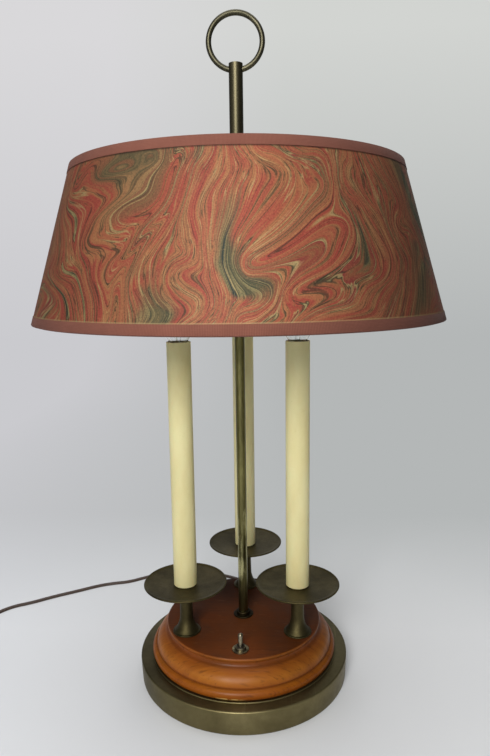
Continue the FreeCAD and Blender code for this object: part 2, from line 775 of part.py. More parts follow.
parts["shade_paper"] = turned(
    on_cone(shade_bottom_r, shade_bottom, 0, -paper_thick / 2),
    on_cone(shade_bottom_r, shade_bottom, 0, paper_thick / 2),
    on_cone(shade_top_r, shade_top, 0, paper_thick / 2),
    on_cone(shade_top_r, shade_top, 0, -paper_thick / 2),
)
parts["bottom_tape"] = tape(shade_bottom_r, shade_bottom, 1)
parts["top_tape"] = tape(shade_top_r, shade_top, -1)
parts["bottom_wire"], bottom_wire_ring, bottom_wire_z = rim_wire(shade_bottom_r, shade_bottom, 1)
parts["top_wire"], wire_ring, wire_z = rim_wire(shade_top_r, shade_top, -1)
parts["shade_hub"] = pipe(hub_r, tube_r + slide_clearance, hub_bottom, hub_top)
arm_z = hub_bottom + hub_thick / 2
arms = []
for angle in arm_angles:
    arm = tube_along(
        (
            (hub_r, 0, arm_z),
            (wire_ring - 2 * arm_rise_at, 0, arm_z),
            (wire_ring - arm_rise_at, 0, arm_z + (wire_z - arm_z) * arm_rise_share),
            (wire_ring - wire_r, 0, wire_z),
        ), arm_r, "spider arm")
    arms.append(turned_about(arm, angle))
parts["spider_arms"] = Part.makeCompound(arms).cut(parts["top_wire"])
parts["top_tape"] = parts["top_tape"].cut(parts["spider_arms"])

os.makedirs("parts", exist_ok=True)
for node, shape in parts.items():
    shape.exportStep("parts/%s.step" % node)
print(len(parts), "nodes, height %.1f" % (ring_z + ring_r + ring_wire_r))
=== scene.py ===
"""The looks of a three-candle bouillotte lamp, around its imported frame.

Metres, +Z up. The origin is on the table, under the middle of the base.
"""

import json
import logging
import math
from dataclasses import dataclass, field
from enum import Enum
from typing import Callable, Iterable

import bmesh
import bpy
from mathutils import Matrix, Vector

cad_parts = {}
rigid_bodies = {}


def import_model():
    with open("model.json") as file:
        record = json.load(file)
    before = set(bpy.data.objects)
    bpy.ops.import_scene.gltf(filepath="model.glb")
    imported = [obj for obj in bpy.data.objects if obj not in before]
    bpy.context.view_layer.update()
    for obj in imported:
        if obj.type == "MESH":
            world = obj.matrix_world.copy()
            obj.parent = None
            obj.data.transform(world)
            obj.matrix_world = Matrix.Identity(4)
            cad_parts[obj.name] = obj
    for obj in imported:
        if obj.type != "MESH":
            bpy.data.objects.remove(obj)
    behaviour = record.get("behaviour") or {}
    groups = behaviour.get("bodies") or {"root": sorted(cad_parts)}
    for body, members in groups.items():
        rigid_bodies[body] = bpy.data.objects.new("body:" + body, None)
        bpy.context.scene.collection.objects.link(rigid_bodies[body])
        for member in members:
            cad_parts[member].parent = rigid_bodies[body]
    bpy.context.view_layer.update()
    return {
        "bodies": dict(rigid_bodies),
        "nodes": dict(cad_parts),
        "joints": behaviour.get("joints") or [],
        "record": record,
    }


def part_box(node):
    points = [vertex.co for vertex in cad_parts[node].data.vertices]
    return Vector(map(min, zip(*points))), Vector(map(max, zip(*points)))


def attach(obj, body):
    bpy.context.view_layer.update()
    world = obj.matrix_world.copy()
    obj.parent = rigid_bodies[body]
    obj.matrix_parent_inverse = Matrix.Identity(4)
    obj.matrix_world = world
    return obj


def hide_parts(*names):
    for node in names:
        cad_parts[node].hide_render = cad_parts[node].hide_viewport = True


LOG = logging.getLogger("lamp")
MM = 0.001
Colour = tuple[float, float, float, float]
Place = tuple[float, float, float]
Point = tuple[float, float]
Stretch = tuple[float, float, float, float]
Socket = bpy.types.NodeSocket


class Body(str, Enum):
    """The bodies of the frame that take new pieces."""

    BASE = "base"
    LIFT = "lift"
    SHADE = "shade"


def tint(red: float, green: float, blue: float) -> Colour:
    """Turns a colour of 0 to 255 steps, as it looks on a screen, into linear light.

    Args:
        red: The red step.
        green: The green step.
        blue: The blue step.

    Returns:
        The linear colour, opaque.
    """

    def linear(step: float) -> float:
        """One channel in linear light."""
        share = step / 255.0
        return share / 12.92 if share <= 0.04045 else ((share + 0.055) / 1.055) ** 2.4

    return (linear(red), linear(green), linear(blue), 1.0)


# Node graphs


class Graph:
    """A material's node graph, with a short call for each kind of node."""

    def __init__(self, name: str) -> None:
        """Starts a material with one surface shader.

        Args:
            name: The material's name.
        """
        self.material = bpy.data.materials.new(name)
        self.material.use_nodes = True
        self.tree = self.material.node_tree
        self.tree.nodes.clear()
        self.output = self.node("ShaderNodeOutputMaterial")
        self.surface = self.node("ShaderNodeBsdfPrincipled")
        self.link(self.surface.outputs["BSDF"], self.output.inputs["Surface"])

    def link(self, source: Socket, target: Socket) -> None:
        """Joins an output to an input."""
        self.tree.links.new(source, target)

    def feed(self, target: Socket, value: object) -> None:
        """Gives an input a socket to follow, or a constant.

        Args:
            target: The input.
            value: A socket, a number or a tuple of numbers.
        """
        if isinstance(value, bpy.types.NodeSocket):
            self.link(value, target)
        else:
            target.default_value = value

    def node(self, kind: str, inputs: dict | None = None, **settings: object) -> bpy.types.Node:
        """Adds a node.

        Args:
            kind: Blender's name of the node type.
            inputs: What each of its inputs follows or holds, by name or place.
            **settings: Attributes to set on it.

        Returns:
            The new node.
        """
        made = self.tree.nodes.new(kind)
        for key, value in settings.items():
            setattr(made, key, value)
        for key, value in (inputs or {}).items():
            self.feed(made.inputs[key], value)
        return made

    def constants(self, **values: object) -> None:
        """Sets constants on the surface shader; an underscore stands for a space."""
        for key, value in values.items():
            self.surface.inputs[key.replace("_", " ")].default_value = value

    def place(self, scale: Place = (1, 1, 1), shift: Place = (0, 0, 0), turn: Place = (0, 0, 0),
              uv: bool = False) -> Socket:
        """Texture coordinates in metres.

        Args:
            scale: The stretch along each axis.
            shift: The move along each axis, after the stretch.
            turn: The turn about each axis, in radians.
            uv: Whether to follow the piece's own UV map.

        Returns:
            The vector output.
        """
        source = self.node("ShaderNodeTexCoord").outputs["UV" if uv else "Object"]
        inputs = {"Vector": source, "Location": shift, "Rotation": turn, "Scale": scale}
        return self.node("ShaderNodeMapping", inputs).outputs["Vector"]

    def noise(self, at: Socket, scale: float, detail: float = 3.0, rough: float = 0.5,
              swirl: float = 0.0, output: str = "Fac") -> Socket:
        """A cloudy noise.

        Args:
            at: The coordinates.
            scale: Cells per metre.
            detail: Octaves.
            rough: The weight of the finer octaves.
            swirl: Its own distortion.
            output: Which output is wanted.

        Returns:
            That output.
        """
        inputs = {"Vector": at, "Scale": scale, "Detail": detail, "Roughness": rough, "Distortion": swirl}
        return self.node("ShaderNodeTexNoise", inputs).outputs[output]

    def wave(self, along: Socket, scale: float, seed: float) -> Socket:
        """A smooth random wave along one number, about zero.

        Args:
            along: The number it runs along.
            scale: Swings per unit.
            seed: Which wave it is.

        Returns:
            The wave's value.
        """
        inputs = {"W": self.plus(along, seed), "Scale": scale, "Detail": 1.0}
        return self.less(self.node("ShaderNodeTexNoise", inputs, noise_dimensions="1D").outputs["Fac"], 0.5)

    def ramp(self, factor: Socket, *stops: tuple[float, Colour]) -> Socket:
        """A colour by a factor.

        Args:
            factor: The value that runs along the ramp.
            *stops: Places and their colours.

        Returns:
            The colour output.
        """
        made = self.node("ShaderNodeValToRGB", {"Fac": factor})
        band = made.color_ramp
        while len(band.elements) < len(stops):
            band.elements.new(1.0)
        for element, (at, colour) in zip(band.elements, stops):
            element.position = at
            element.color = colour
        return made.outputs["Color"]

    def span(self, value: Socket, low: float, high: float, to_low: float = 0.0,
             to_high: float = 1.0) -> Socket:
        """Maps a stretch of values onto another, held at its ends.

        Args:
            value: The value.
            low: Where the stretch starts.
            high: Where it ends.
            to_low: What the start becomes.
            to_high: What the end becomes.

        Returns:
            The mapped value.
        """
        inputs = {"Value": value, "From Min": low, "From Max": high, "To Min": to_low, "To Max": to_high}
        return self.node("ShaderNodeMapRange", inputs).outputs["Result"]

    def mix(self, factor: object, first: object, second: object) -> Socket:
        """Lays a second colour over a first, as far as the factor says."""
        inputs = {"Factor": factor, 6: first, 7: second}
        return self.node("ShaderNodeMix", inputs, data_type="RGBA").outputs[2]

    def sum_of(self, operation: str, first: object, second: object = 0.0) -> Socket:
        """A number worked out from one or two others by an operation, under its name in Blender."""
        return self.node("ShaderNodeMath", {0: first, 1: second}, operation=operation).outputs["Value"]

    def times(self, first: object, second: object) -> Socket:
        """The product of two numbers."""
        return self.sum_of("MULTIPLY", first, second)

    def plus(self, first: object, second: object) -> Socket:
        """The sum of two numbers."""
        return self.sum_of("ADD", first, second)

    def less(self, first: object, second: object) -> Socket:
        """The first number less the second."""
        return self.sum_of("SUBTRACT", first, second)

    def vector(self, operation: str, first: object, second: object = (0.0, 0.0, 0.0)) -> Socket:
        """A vector or number worked out from one or two vectors.

        Args:
            operation: Blender's name of the sum.
            first: The first vector or socket.
            second: The second, or the factor of a scaling.

        Returns:
            The output that holds the result.
        """
        inputs = {0: first, "Scale" if operation == "SCALE" else 1: second}
        made = self.node("ShaderNodeVectorMath", inputs, operation=operation)
        return made.outputs["Value" if operation in ("DOT_PRODUCT", "LENGTH") else "Vector"]

    def axes(self, at: Socket) -> tuple[Socket, Socket, Socket]:
        """A vector's three numbers."""
        return tuple(self.node("ShaderNodeSeparateXYZ", {0: at}).outputs)

    def facing_up(self, low: float, high: float) -> Socket:
        """How far a face looks up: 0 at the lower slope of its normal, 1 at the upper one."""
        return self.span(self.axes(self.node("ShaderNodeNewGeometry").outputs["Normal"])[2], low, high)

    def dimmed(self, colour: Socket, *factors: object) -> Socket:
        """A colour made darker by one or more factors.

        Args:
            colour: The colour.
            *factors: The factors.

        Returns:
            The darker colour.
        """
        for factor in factors:
            colour = self.vector("SCALE", colour, factor)
        return colour

    def shaded_to_sides(self, colour: Socket, *stretches: Stretch) -> Socket:
        """A colour with painted shade that makes it darker to the sides.

        Args:
            colour: The colour.
            *stretches: Where each stretch of X starts and ends, and the light left at both ends.

        Returns:
            The darker colour.
        """
        x = self.axes(self.place())[0]
        return self.dimmed(colour, *(self.span(x, *stretch) for stretch in stretches))

    def bump(self, height: Socket, depth: float, over: Socket | None = None) -> Socket:
        """A relief in the shading.

        Args:
            height: The relief, from 0 to 1.
            depth: How deep 1 is, in metres.
            over: A relief to lay it over.

        Returns:
            The normal output.
        """
        under = {} if over is None else {"Normal": over}
        return self.node("ShaderNodeBump", {"Height": height, "Distance": depth, **under}).outputs["Normal"]

    def finish(self, colour: object, rough: object, normal: Socket | None = None) -> bpy.types.Material:
        """Gives the surface its colour, roughness and relief.

        Args:
            colour: The base colour.
            rough: The roughness.
            normal: The relief.

        Returns:
            The finished material.
        """
        self.feed(self.surface.inputs["Base Color"], colour)
        self.feed(self.surface.inputs["Roughness"], rough)
        if normal is not None:
            self.link(normal, self.surface.inputs["Normal"])
        return self.material


# Finishes


@dataclass(frozen=True)
class AgedBrass:
    """Brass under old lacquer: brown patches, pale rubbed places and fine scratches.

    Attributes:
        name: The material's name.
        dark: The colour of the tarnish.
        mid: The usual colour.
        worn: The colour where it is rubbed.
        shine: The roughness of the rubbed places.
        dull: The roughness of the tarnish.
        patch: Patches per metre.
        wear: How much is rubbed, from 0 to 1.
        draw: The stretch of its marks along Z, less than 1 on a drawn tube.
        scratches: Whether fine crossing scratches show on its upper faces.
        pits: The depth of its fine pits, in metres.
        grit: How much its fine grain darkens it, from 0 to 1.
        top_shade: How much painted shade darkens its upper faces, from 0 to 1.
        end_shade: How much painted shade darkens its left and right ends, from 0 to 1.
        rubbed: The heights between which it is rubbed bright, in metres.
    """

    name: str
    dark: Colour
    mid: Colour
    worn: Colour
    shine: float = 0.26
    dull: float = 0.5
    patch: float = 38.0
    wear: float = 0.35
    draw: float = 1.0
    scratches: bool = False
    pits: float = 0.00003
    grit: float = 0.3
    top_shade: float = 0.0
    end_shade: float = 0.0
    rubbed: tuple[float, float] | None = None

    def build(self) -> bpy.types.Material:
        """Makes the material.

        Returns:
            The material.
        """
        graph = Graph(self.name)
        graph.constants(Metallic=1.0)
        along = (1.0, 1.0, self.draw)
        at = graph.place(scale=along)
        clouds = graph.noise(at, self.patch, 5.0, 0.62, 0.4)
        specks = graph.noise(at, self.patch * 14.0, 3.0, 0.6)
        body = graph.ramp(clouds, (0.34, self.dark), (0.62, self.mid))
        rubbed = graph.noise(graph.place(scale=along, shift=(0.31, 0.17, 0.05)), self.patch * 1.7, 6.0, 0.7)
        low = 0.78 - 0.42 * self.wear
        if self.rubbed is not None:
            height = graph.axes(graph.place())[2]
            foot, head = self.rubbed
            more = graph.sum_of("MINIMUM", graph.span(height, foot, foot + 0.02),
                                graph.span(height, head - 0.05, head, 1.0, 0.0))
            rubbed = graph.plus(rubbed, graph.times(more, 0.22))
        worn = graph.span(rubbed, low, low + 0.16)
        colour = graph.mix(worn, body, self.worn)
        grain = graph.span(specks, 0.35, 0.75)
        colour = graph.mix(graph.times(grain, self.grit), colour, self.dark)
        rough = graph.span(clouds, 0.3, 0.7, self.dull, (self.dull + self.shine) / 2)
        rough = graph.less(rough, graph.times(worn, (self.dull - self.shine) * 0.6))
        rough = graph.plus(rough, graph.times(grain, 0.2 * self.grit))
        relief = graph.bump(specks, self.pits)
        # Painted shade: upper faces darker.
        if self.top_shade:
            up = graph.facing_up(0.6, 0.95)
            colour = graph.dimmed(colour, graph.less(1.0, graph.times(up, self.top_shade)))
        # Painted shade: darker towards the left and right ends.
        if self.end_shade:
            out = graph.sum_of("ABSOLUTE", graph.axes(graph.place())[0])
            colour = graph.dimmed(colour, graph.span(out, 0.05, 0.1, 1.0, 1.0 - self.end_shade))
        if self.scratches:
            lines = graph.noise(graph.place(scale=(260.0, 9.0, 9.0), turn=(0.0, 0.0, 0.6)), 1.0, 2.0, 0.5)
            cross = graph.noise(graph.place(scale=(8.0, 210.0, 8.0), turn=(0.0, 0.0, -0.4)), 1.0, 2.0, 0.5)
            cuts = graph.sum_of("MAXIMUM", graph.span(lines, 0.66, 0.7), graph.span(cross, 0.67, 0.71))
            cuts = graph.times(cuts, graph.span(clouds, 0.45, 0.6))
            cuts = graph.times(cuts, graph.facing_up(0.8, 0.95))
            colour = graph.mix(graph.times(cuts, 0.2), colour, self.worn)
            relief = graph.bump(cuts, -0.00003, relief)
        return graph.finish(colour, rough, relief)


@dataclass(frozen=True)
class TurnedWood:
    """Stained and varnished wood with fine grain, dark on top and worn on its mouldings, with painted light
    and shade in its tones by height and painted shade over its top and right side.

    Attributes:
        name: The material's name.
        top: The height of the plinth's top, in metres.
        foot: The height of its foot, in metres.
        chip_x: How far left of the front the foot's worn chip lies, in metres.
    """

    name: str
    top: float
    foot: float
    chip_x: float = 0.009

    def build(self) -> bpy.types.Material:
        """Makes the material.

        Returns:
            The material.
        """
        graph = Graph(self.name)
        graph.constants(Specular_IOR_Level=0.16)
        grain = graph.noise(graph.place(scale=(7.0, 120.0, 26.0)), 1.0, 5.0, 0.6, 0.3)
        pores = graph.noise(graph.place(scale=(40.0, 900.0, 260.0)), 1.0, 2.0, 0.5)
        cloud = graph.noise(graph.place(), 26.0, 3.0, 0.55)
        x, _, height = graph.axes(graph.place())
        share = graph.span(height, self.foot, self.top)
        # The stain's tones by height, with painted light in them: the ovolo and the bead lighter and the top
        # darker, as light falls on them.
        warm = graph.ramp(share, (0.0, tint(132, 66, 14)), (0.28, tint(146, 82, 14)),
                          (0.31, tint(96, 48, 10)), (0.36, tint(150, 86, 22)),
                          (0.5, tint(166, 102, 34)), (0.68, tint(146, 82, 24)),
                          (0.74, tint(100, 52, 14)), (0.88, tint(116, 62, 18)),
                          (0.93, tint(140, 84, 30)), (0.985, tint(128, 72, 22)),
                          (0.995, tint(88, 44, 12)))
        colour = graph.mix(graph.span(grain, 0.38, 0.68, 0.4, 0.0), warm, tint(84, 40, 10))
        colour = graph.mix(graph.span(cloud, 0.42, 0.66, 0.0, 0.3), colour, tint(124, 58, 14))
        colour = graph.mix(graph.span(pores, 0.58, 0.7, 0.0, 0.4), colour, tint(46, 22, 12))
        chip = graph.noise(graph.place(), 240.0, 3.0, 0.6)
        near = graph.sum_of("ABSOLUTE", graph.plus(x, self.chip_x))
        chip = graph.times(graph.span(near, 0.004, 0.016, 1.0, 0.0), graph.span(chip, 0.44, 0.5))
        low = graph.span(height, self.foot + 0.0022, self.foot + 0.0034, 1.0, 0.0)
        colour = graph.mix(graph.times(chip, low), colour, tint(214, 176, 104))
        marks = graph.noise(graph.place(scale=(60.0, 900.0, 1.0), turn=(0.0, 0.0, 0.5)), 1.0, 2.0, 0.5)
        marks = graph.times(graph.span(marks, 0.68, 0.72), graph.span(share, 0.98, 1.0))
        colour = graph.mix(graph.times(marks, 0.35), colour, tint(168, 120, 84))
        # Painted shade: the flat top darker towards the back, where the lamp shade's shadow falls, a little
        # darker over all its upward faces, and the wood darker to the right.
        flat = graph.facing_up(0.9, 1.0)
        far = graph.span(graph.axes(graph.place())[1], -0.05, 0.06)
        colour = graph.dimmed(colour, graph.span(graph.times(flat, far), 0.0, 1.0, 1.0, 0.5),
                              graph.span(flat, 0.0, 1.0, 1.0, 0.98), graph.span(x, 0.0, 0.09, 1.0, 0.72))
        rough = graph.plus(graph.span(cloud, 0.3, 0.7, 0.3, 0.46), graph.times(flat, 0.3))
        relief = graph.bump(pores, -0.00005, graph.bump(grain, 0.00006))
        return graph.finish(colour, rough, relief)


@dataclass(frozen=True)
class IvoryCard:
    """The ivory cover of a candle: waxed card, a little uneven and yellowed.

    Attributes:
        name: The material's name.
        pale: The usual colour.
        yellowed: The colour of the older patches.
    """

    name: str
    pale: Colour
    yellowed: Colour

    def build(self) -> bpy.types.Material:
        """Makes the material.

        Returns:
            The material.
        """
        graph = Graph(self.name)
        graph.constants(Specular_IOR_Level=0.4, Subsurface_Weight=0.08, Subsurface_Scale=0.002)
        cloud = graph.noise(graph.place(scale=(1.0, 1.0, 0.35)), 34.0, 4.0, 0.6)
        speck = graph.noise(graph.place(), 900.0, 2.0, 0.5)
        colour = graph.mix(graph.span(cloud, 0.35, 0.7), self.pale, self.yellowed)
        colour = graph.mix(graph.span(speck, 0.66, 0.75, 0.0, 0.3), colour, tint(150, 132, 82))
        rough = graph.span(cloud, 0.3, 0.7, 0.4, 0.55)
        return graph.finish(colour, rough, graph.bump(cloud, 0.00012))


@dataclass(frozen=True)
class MarbledPaper:
    """Paper marbled in drawn-out swirls: terracotta and red, with olive, dark green and cream veins.

    Attributes:
        name: The material's name.
        inside: Whether this is the plain face inside the shade.
        swirls: Each stirring of the bath: its swirls per tenth of a metre and its reach.
        strokes: Each pull of the stylus: its direction in degrees, its swings and its reach.
        upper_line: How far from the cone's point the upper tape's edge lies, in metres, with a thin painted
            shadow under it.
        lower_line: How far from it the lower tape's edge lies.
        depth: How deep its inks are.
        age: How painted shade darkens its sides.
    """

    name: str
    inside: bool = False
    swirls: tuple[tuple[float, float], ...] = ((0.55, 1.9), (1.3, 0.8), (2.6, 0.22))
    strokes: tuple[tuple[float, float, float], ...] = ((80.0, 0.8, 2.2), (8.0, 1.1, 1.2), (62.0, 1.9, 0.6))
    upper_line: float = 0.5424
    lower_line: float = 0.6660
    depth: float = 0.82
    age: tuple[Stretch, ...] = ((0.02, 0.14, 1.0, 0.38), (-0.13, 0.0, 0.52, 1.0))

    def drawn(self, graph: Graph) -> Socket:
        """Coordinates in tenths of a metre, pulled and stirred as floating ink is.

        Args:
            graph: The material's graph.

        Returns:
            The drawn-out coordinates.
        """
        at = graph.place(scale=(10.0, 10.0, 10.0), uv=True)
        for number, (swings, reach) in enumerate(self.swirls):
            start = graph.vector("ADD", at, (7.3 * number, 3.1, 0.0))
            cloud = graph.noise(start, swings, 1.0, 0.4, output="Color")
            push = graph.vector("SUBTRACT", cloud, (0.5, 0.5, 0.5))
            at = graph.vector("ADD", at, graph.vector("MULTIPLY", push, (reach, reach, 0.0)))
        for number, (degrees, swings, pull) in enumerate(self.strokes):
            x, y = math.cos(math.radians(degrees)), math.sin(math.radians(degrees))
            across = graph.vector("DOT_PRODUCT", at, (-y, x, 0.0))
            push = graph.times(graph.wave(across, swings, 3.7 * number), pull)
            at = graph.vector("ADD", at, graph.vector("SCALE", (x, y, 0.0), push))
        return at

    def inks(self, graph: Graph) -> Socket:
        """The floating inks: warm strands, dusky patches and thin pale and dark veins.

        Args:
            graph: The material's graph.

        Returns:
            The inks' colour.
        """
        at = self.drawn(graph)
        strand = graph.noise(graph.vector("MULTIPLY", at, (8.6, 0.62, 1.0)), 1.0, 4.0, 0.62)
        warm = graph.ramp(strand, (0.28, tint(44, 56, 50)), (0.31, tint(110, 102, 70)),
                          (0.335, tint(172, 152, 104)), (0.345, tint(66, 62, 48)),
                          (0.36, tint(158, 84, 62)), (0.41, tint(166, 74, 62)),
                          (0.44, tint(170, 104, 72)), (0.475, tint(176, 120, 80)),
                          (0.49, tint(84, 72, 52)), (0.5, tint(172, 108, 74)),
                          (0.55, tint(164, 76, 62)), (0.58, tint(160, 104, 70)),
                          (0.6, tint(58, 58, 46)), (0.612, tint(176, 152, 104)),
                          (0.625, tint(144, 62, 58)), (0.67, tint(150, 92, 64)),
                          (0.7, tint(112, 104, 72)), (0.73, tint(46, 58, 52)))
        vein = graph.noise(graph.vector("MULTIPLY", at, (21.0, 0.95, 1.0)), 1.0, 2.0, 0.5)
        pale = graph.span(graph.sum_of("ABSOLUTE", graph.less(vein, 0.42)), 0.004, 0.016, 1.0, 0.0)
        dark = graph.span(graph.sum_of("ABSOLUTE", graph.less(vein, 0.56)), 0.004, 0.018, 1.0, 0.0)
        patch = graph.noise(graph.vector("ADD", at, (5.1, 8.2, 0.0)), 0.8, 3.0, 0.5)
        dusky = graph.ramp(strand, (0.3, tint(44, 58, 52)), (0.4, tint(92, 88, 62)),
                           (0.46, tint(140, 128, 88)), (0.5, tint(70, 74, 56)),
                           (0.56, tint(118, 104, 70)), (0.64, tint(48, 60, 54)))
        colour = graph.mix(graph.span(patch, 0.55, 0.61), warm, dusky)
        colour = graph.mix(graph.times(pale, 0.6), colour, tint(186, 164, 112))
        return graph.mix(graph.times(dark, 0.7), colour, tint(48, 52, 42))

    def build(self) -> bpy.types.Material:
        """Makes the material.

        Returns:
            The material.
        """
        graph = Graph(self.name)
        if self.inside:
            graph.constants(Specular_IOR_Level=0.2)
            fibre = graph.noise(graph.place(), 700.0, 3.0, 0.6)
            colour = graph.mix(graph.span(fibre, 0.4, 0.7), tint(226, 218, 200), tint(210, 200, 178))
            return graph.finish(colour, 0.75, graph.bump(fibre, 0.00005))
        graph.constants(Specular_IOR_Level=0.12)
        colour = self.inks(graph)
        cloud = graph.noise(graph.place(), 9.0, 3.0, 0.5)
        colour = graph.mix(graph.span(cloud, 0.5, 0.75, 0.0, 0.35), colour, tint(104, 82, 58))
        speck = graph.noise(graph.place(), 900.0, 3.0, 0.7)
        colour = graph.mix(graph.span(speck, 0.5, 0.7, 0.0, 0.55), colour, tint(70, 58, 44))
        colour = graph.mix(graph.span(speck, 0.3, 0.42, 0.3, 0.0), colour, tint(196, 150, 104))
        reach = graph.vector("LENGTH", graph.place(uv=True))
        # Painted shadow: a thin dark line just under the upper tape's edge.
        upper = graph.span(reach, self.upper_line, self.upper_line + 0.0012, 1.0, 0.0)
        colour = graph.mix(graph.times(upper, 0.7), colour, tint(44, 30, 26))
        lower = graph.span(reach, self.lower_line - 0.0008, self.lower_line - 0.0004)
        colour = graph.mix(graph.times(lower, 0.4), colour, tint(196, 170, 122))
        # Painted shade: the paper darker to the left and more so to the right, by X, as light falls off round
        # the cone.
        colour = graph.shaded_to_sides(graph.dimmed(colour, self.depth), *self.age)
        return graph.finish(colour, graph.span(cloud, 0.3, 0.7, 0.5, 0.62), graph.bump(speck, 0.00004))


@dataclass(frozen=True)
class WovenTape:
    """Narrow ribbed tape glued over a rim.

    Attributes:
        name: The material's name.
        warp: The usual colour.
        weft: The colour between the ribs.
        rib: The step from rib to rib, in metres.
        row: The step from row to row.
        age: How painted shade darkens its sides.
    """

    name: str
    warp: Colour
    weft: Colour
    rib: float = 0.0011
    row: float = 0.0009
    age: tuple[Stretch, ...] = ((0.02, 0.16, 0.94, 0.34), (-0.15, -0.04, 0.6, 1.0))

    def build(self) -> bpy.types.Material:
        """Makes the material.

        Returns:
            The material.
        """
        graph = Graph(self.name)
        graph.constants(Specular_IOR_Level=0.12, Sheen_Weight=0.03, Sheen_Roughness=0.5)
        across, along, _ = graph.axes(graph.place(uv=True))
        ribs = graph.sum_of("SINE", graph.times(across, math.tau / self.rib))
        rows = graph.sum_of("SINE", graph.times(along, math.tau / self.row))
        weave = graph.times(graph.span(ribs, -1.0, 1.0), graph.span(rows, -1.0, 1.0, 0.5, 1.0))
        cloud = graph.noise(graph.place(), 60.0, 4.0, 0.6)
        colour = graph.mix(graph.span(weave, 0.0, 1.0, 0.75, 0.0), self.warp, self.weft)
        colour = graph.mix(graph.span(cloud, 0.35, 0.7, 0.0, 0.35), colour, tint(108, 66, 54))
        # Painted shade: the tape darker to the left and more so to the right, by X, as light falls off round
        # the cone.
        colour = graph.shaded_to_sides(colour, *self.age)
        return graph.finish(colour, 0.78, graph.bump(weave, 0.00012))


@dataclass(frozen=True)
class Moulded:
    """Moulded rubber, plastic or phenolic with a faint skin.

    Attributes:
        name: The material's name.
        colour: The usual colour.
        scuffed: The colour of its scuffs.
        rough: The roughness.
        shine: The strength of its gloss.
        skin: Skin marks per metre.
    """

    name: str
    colour: Colour
    scuffed: Colour
    rough: float = 0.45
    shine: float = 0.4
    skin: float = 900.0

    def build(self) -> bpy.types.Material:
        """Makes the material.

        Returns:
            The material.
        """
        graph = Graph(self.name)
        graph.constants(Specular_IOR_Level=self.shine)
        skin = graph.noise(graph.place(), self.skin, 3.0, 0.6)
        cloud = graph.noise(graph.place(), 45.0, 4.0, 0.6)
        colour = graph.mix(graph.span(cloud, 0.5, 0.75, 0.0, 0.6), self.colour, self.scuffed)
        rough = graph.span(cloud, 0.3, 0.7, self.rough - 0.06, self.rough + 0.1)
        return graph.finish(colour, rough, graph.bump(skin, 0.00005))


@dataclass(frozen=True)
class BareMetal:
    """Cast iron, plated steel or a wire: one metal with a fine grain and a few stains.

    Attributes:
        name: The material's name.
        colour: The usual colour.
        stain: The colour of its stains.
        rough: The roughness.
        grain: Grain per metre.
    """

    name: str
    colour: Colour
    stain: Colour
    rough: float = 0.4
    grain: float = 500.0

    def build(self) -> bpy.types.Material:
        """Makes the material.

        Returns:
            The material.
        """
        graph = Graph(self.name)
        graph.constants(Metallic=1.0)
        grain = graph.noise(graph.place(), self.grain, 4.0, 0.6)
        cloud = graph.noise(graph.place(), 70.0, 4.0, 0.65)
        colour = graph.mix(graph.span(cloud, 0.48, 0.68), self.colour, self.stain)
        rough = graph.span(grain, 0.3, 0.7, self.rough - 0.08, self.rough + 0.12)
        return graph.finish(colour, rough, graph.bump(grain, 0.00008))


@dataclass(frozen=True)
class Fibrous:
    """Felt or board: loose fibres over a soft colour.

    Attributes:
        name: The material's name.
        colour: The usual colour.
        fleck: The colour of its fibres.
        sheen: The softness of its edge light.
    """

    name: str
    colour: Colour
    fleck: Colour
    sheen: float = 0.3

    def build(self) -> bpy.types.Material:
        """Makes the material.

        Returns:
            The material.
        """
        graph = Graph(self.name)
        graph.constants(Specular_IOR_Level=0.1, Sheen_Weight=self.sheen)
        fibre = graph.noise(graph.place(scale=(1.0, 1.0, 1.0)), 1100.0, 5.0, 0.7, 1.5)
        cloud = graph.noise(graph.place(), 50.0, 3.0, 0.6)
        colour = graph.mix(graph.span(fibre, 0.45, 0.65), self.colour, self.fleck)
        colour = graph.mix(graph.span(cloud, 0.4, 0.8, 0.0, 0.3), colour, self.fleck)
        return graph.finish(colour, 0.92, graph.bump(fibre, 0.0003))


@dataclass(frozen=True)
class ClearGlass:
    """Thin clear glass of a bulb, with a trace of dust.

    Attributes:
        name: The material's name.
    """

    name: str

    def build(self) -> bpy.types.Material:
        """Makes the material.

        Returns:
            The material.
        """
        graph = Graph(self.name)
        graph.constants(Transmission_Weight=1.0, IOR=1.45)
        dust = graph.noise(graph.place(), 420.0, 3.0, 0.6)
        return graph.finish((0.97, 0.98, 0.97, 1.0), graph.span(dust, 0.5, 0.8, 0.01, 0.08))


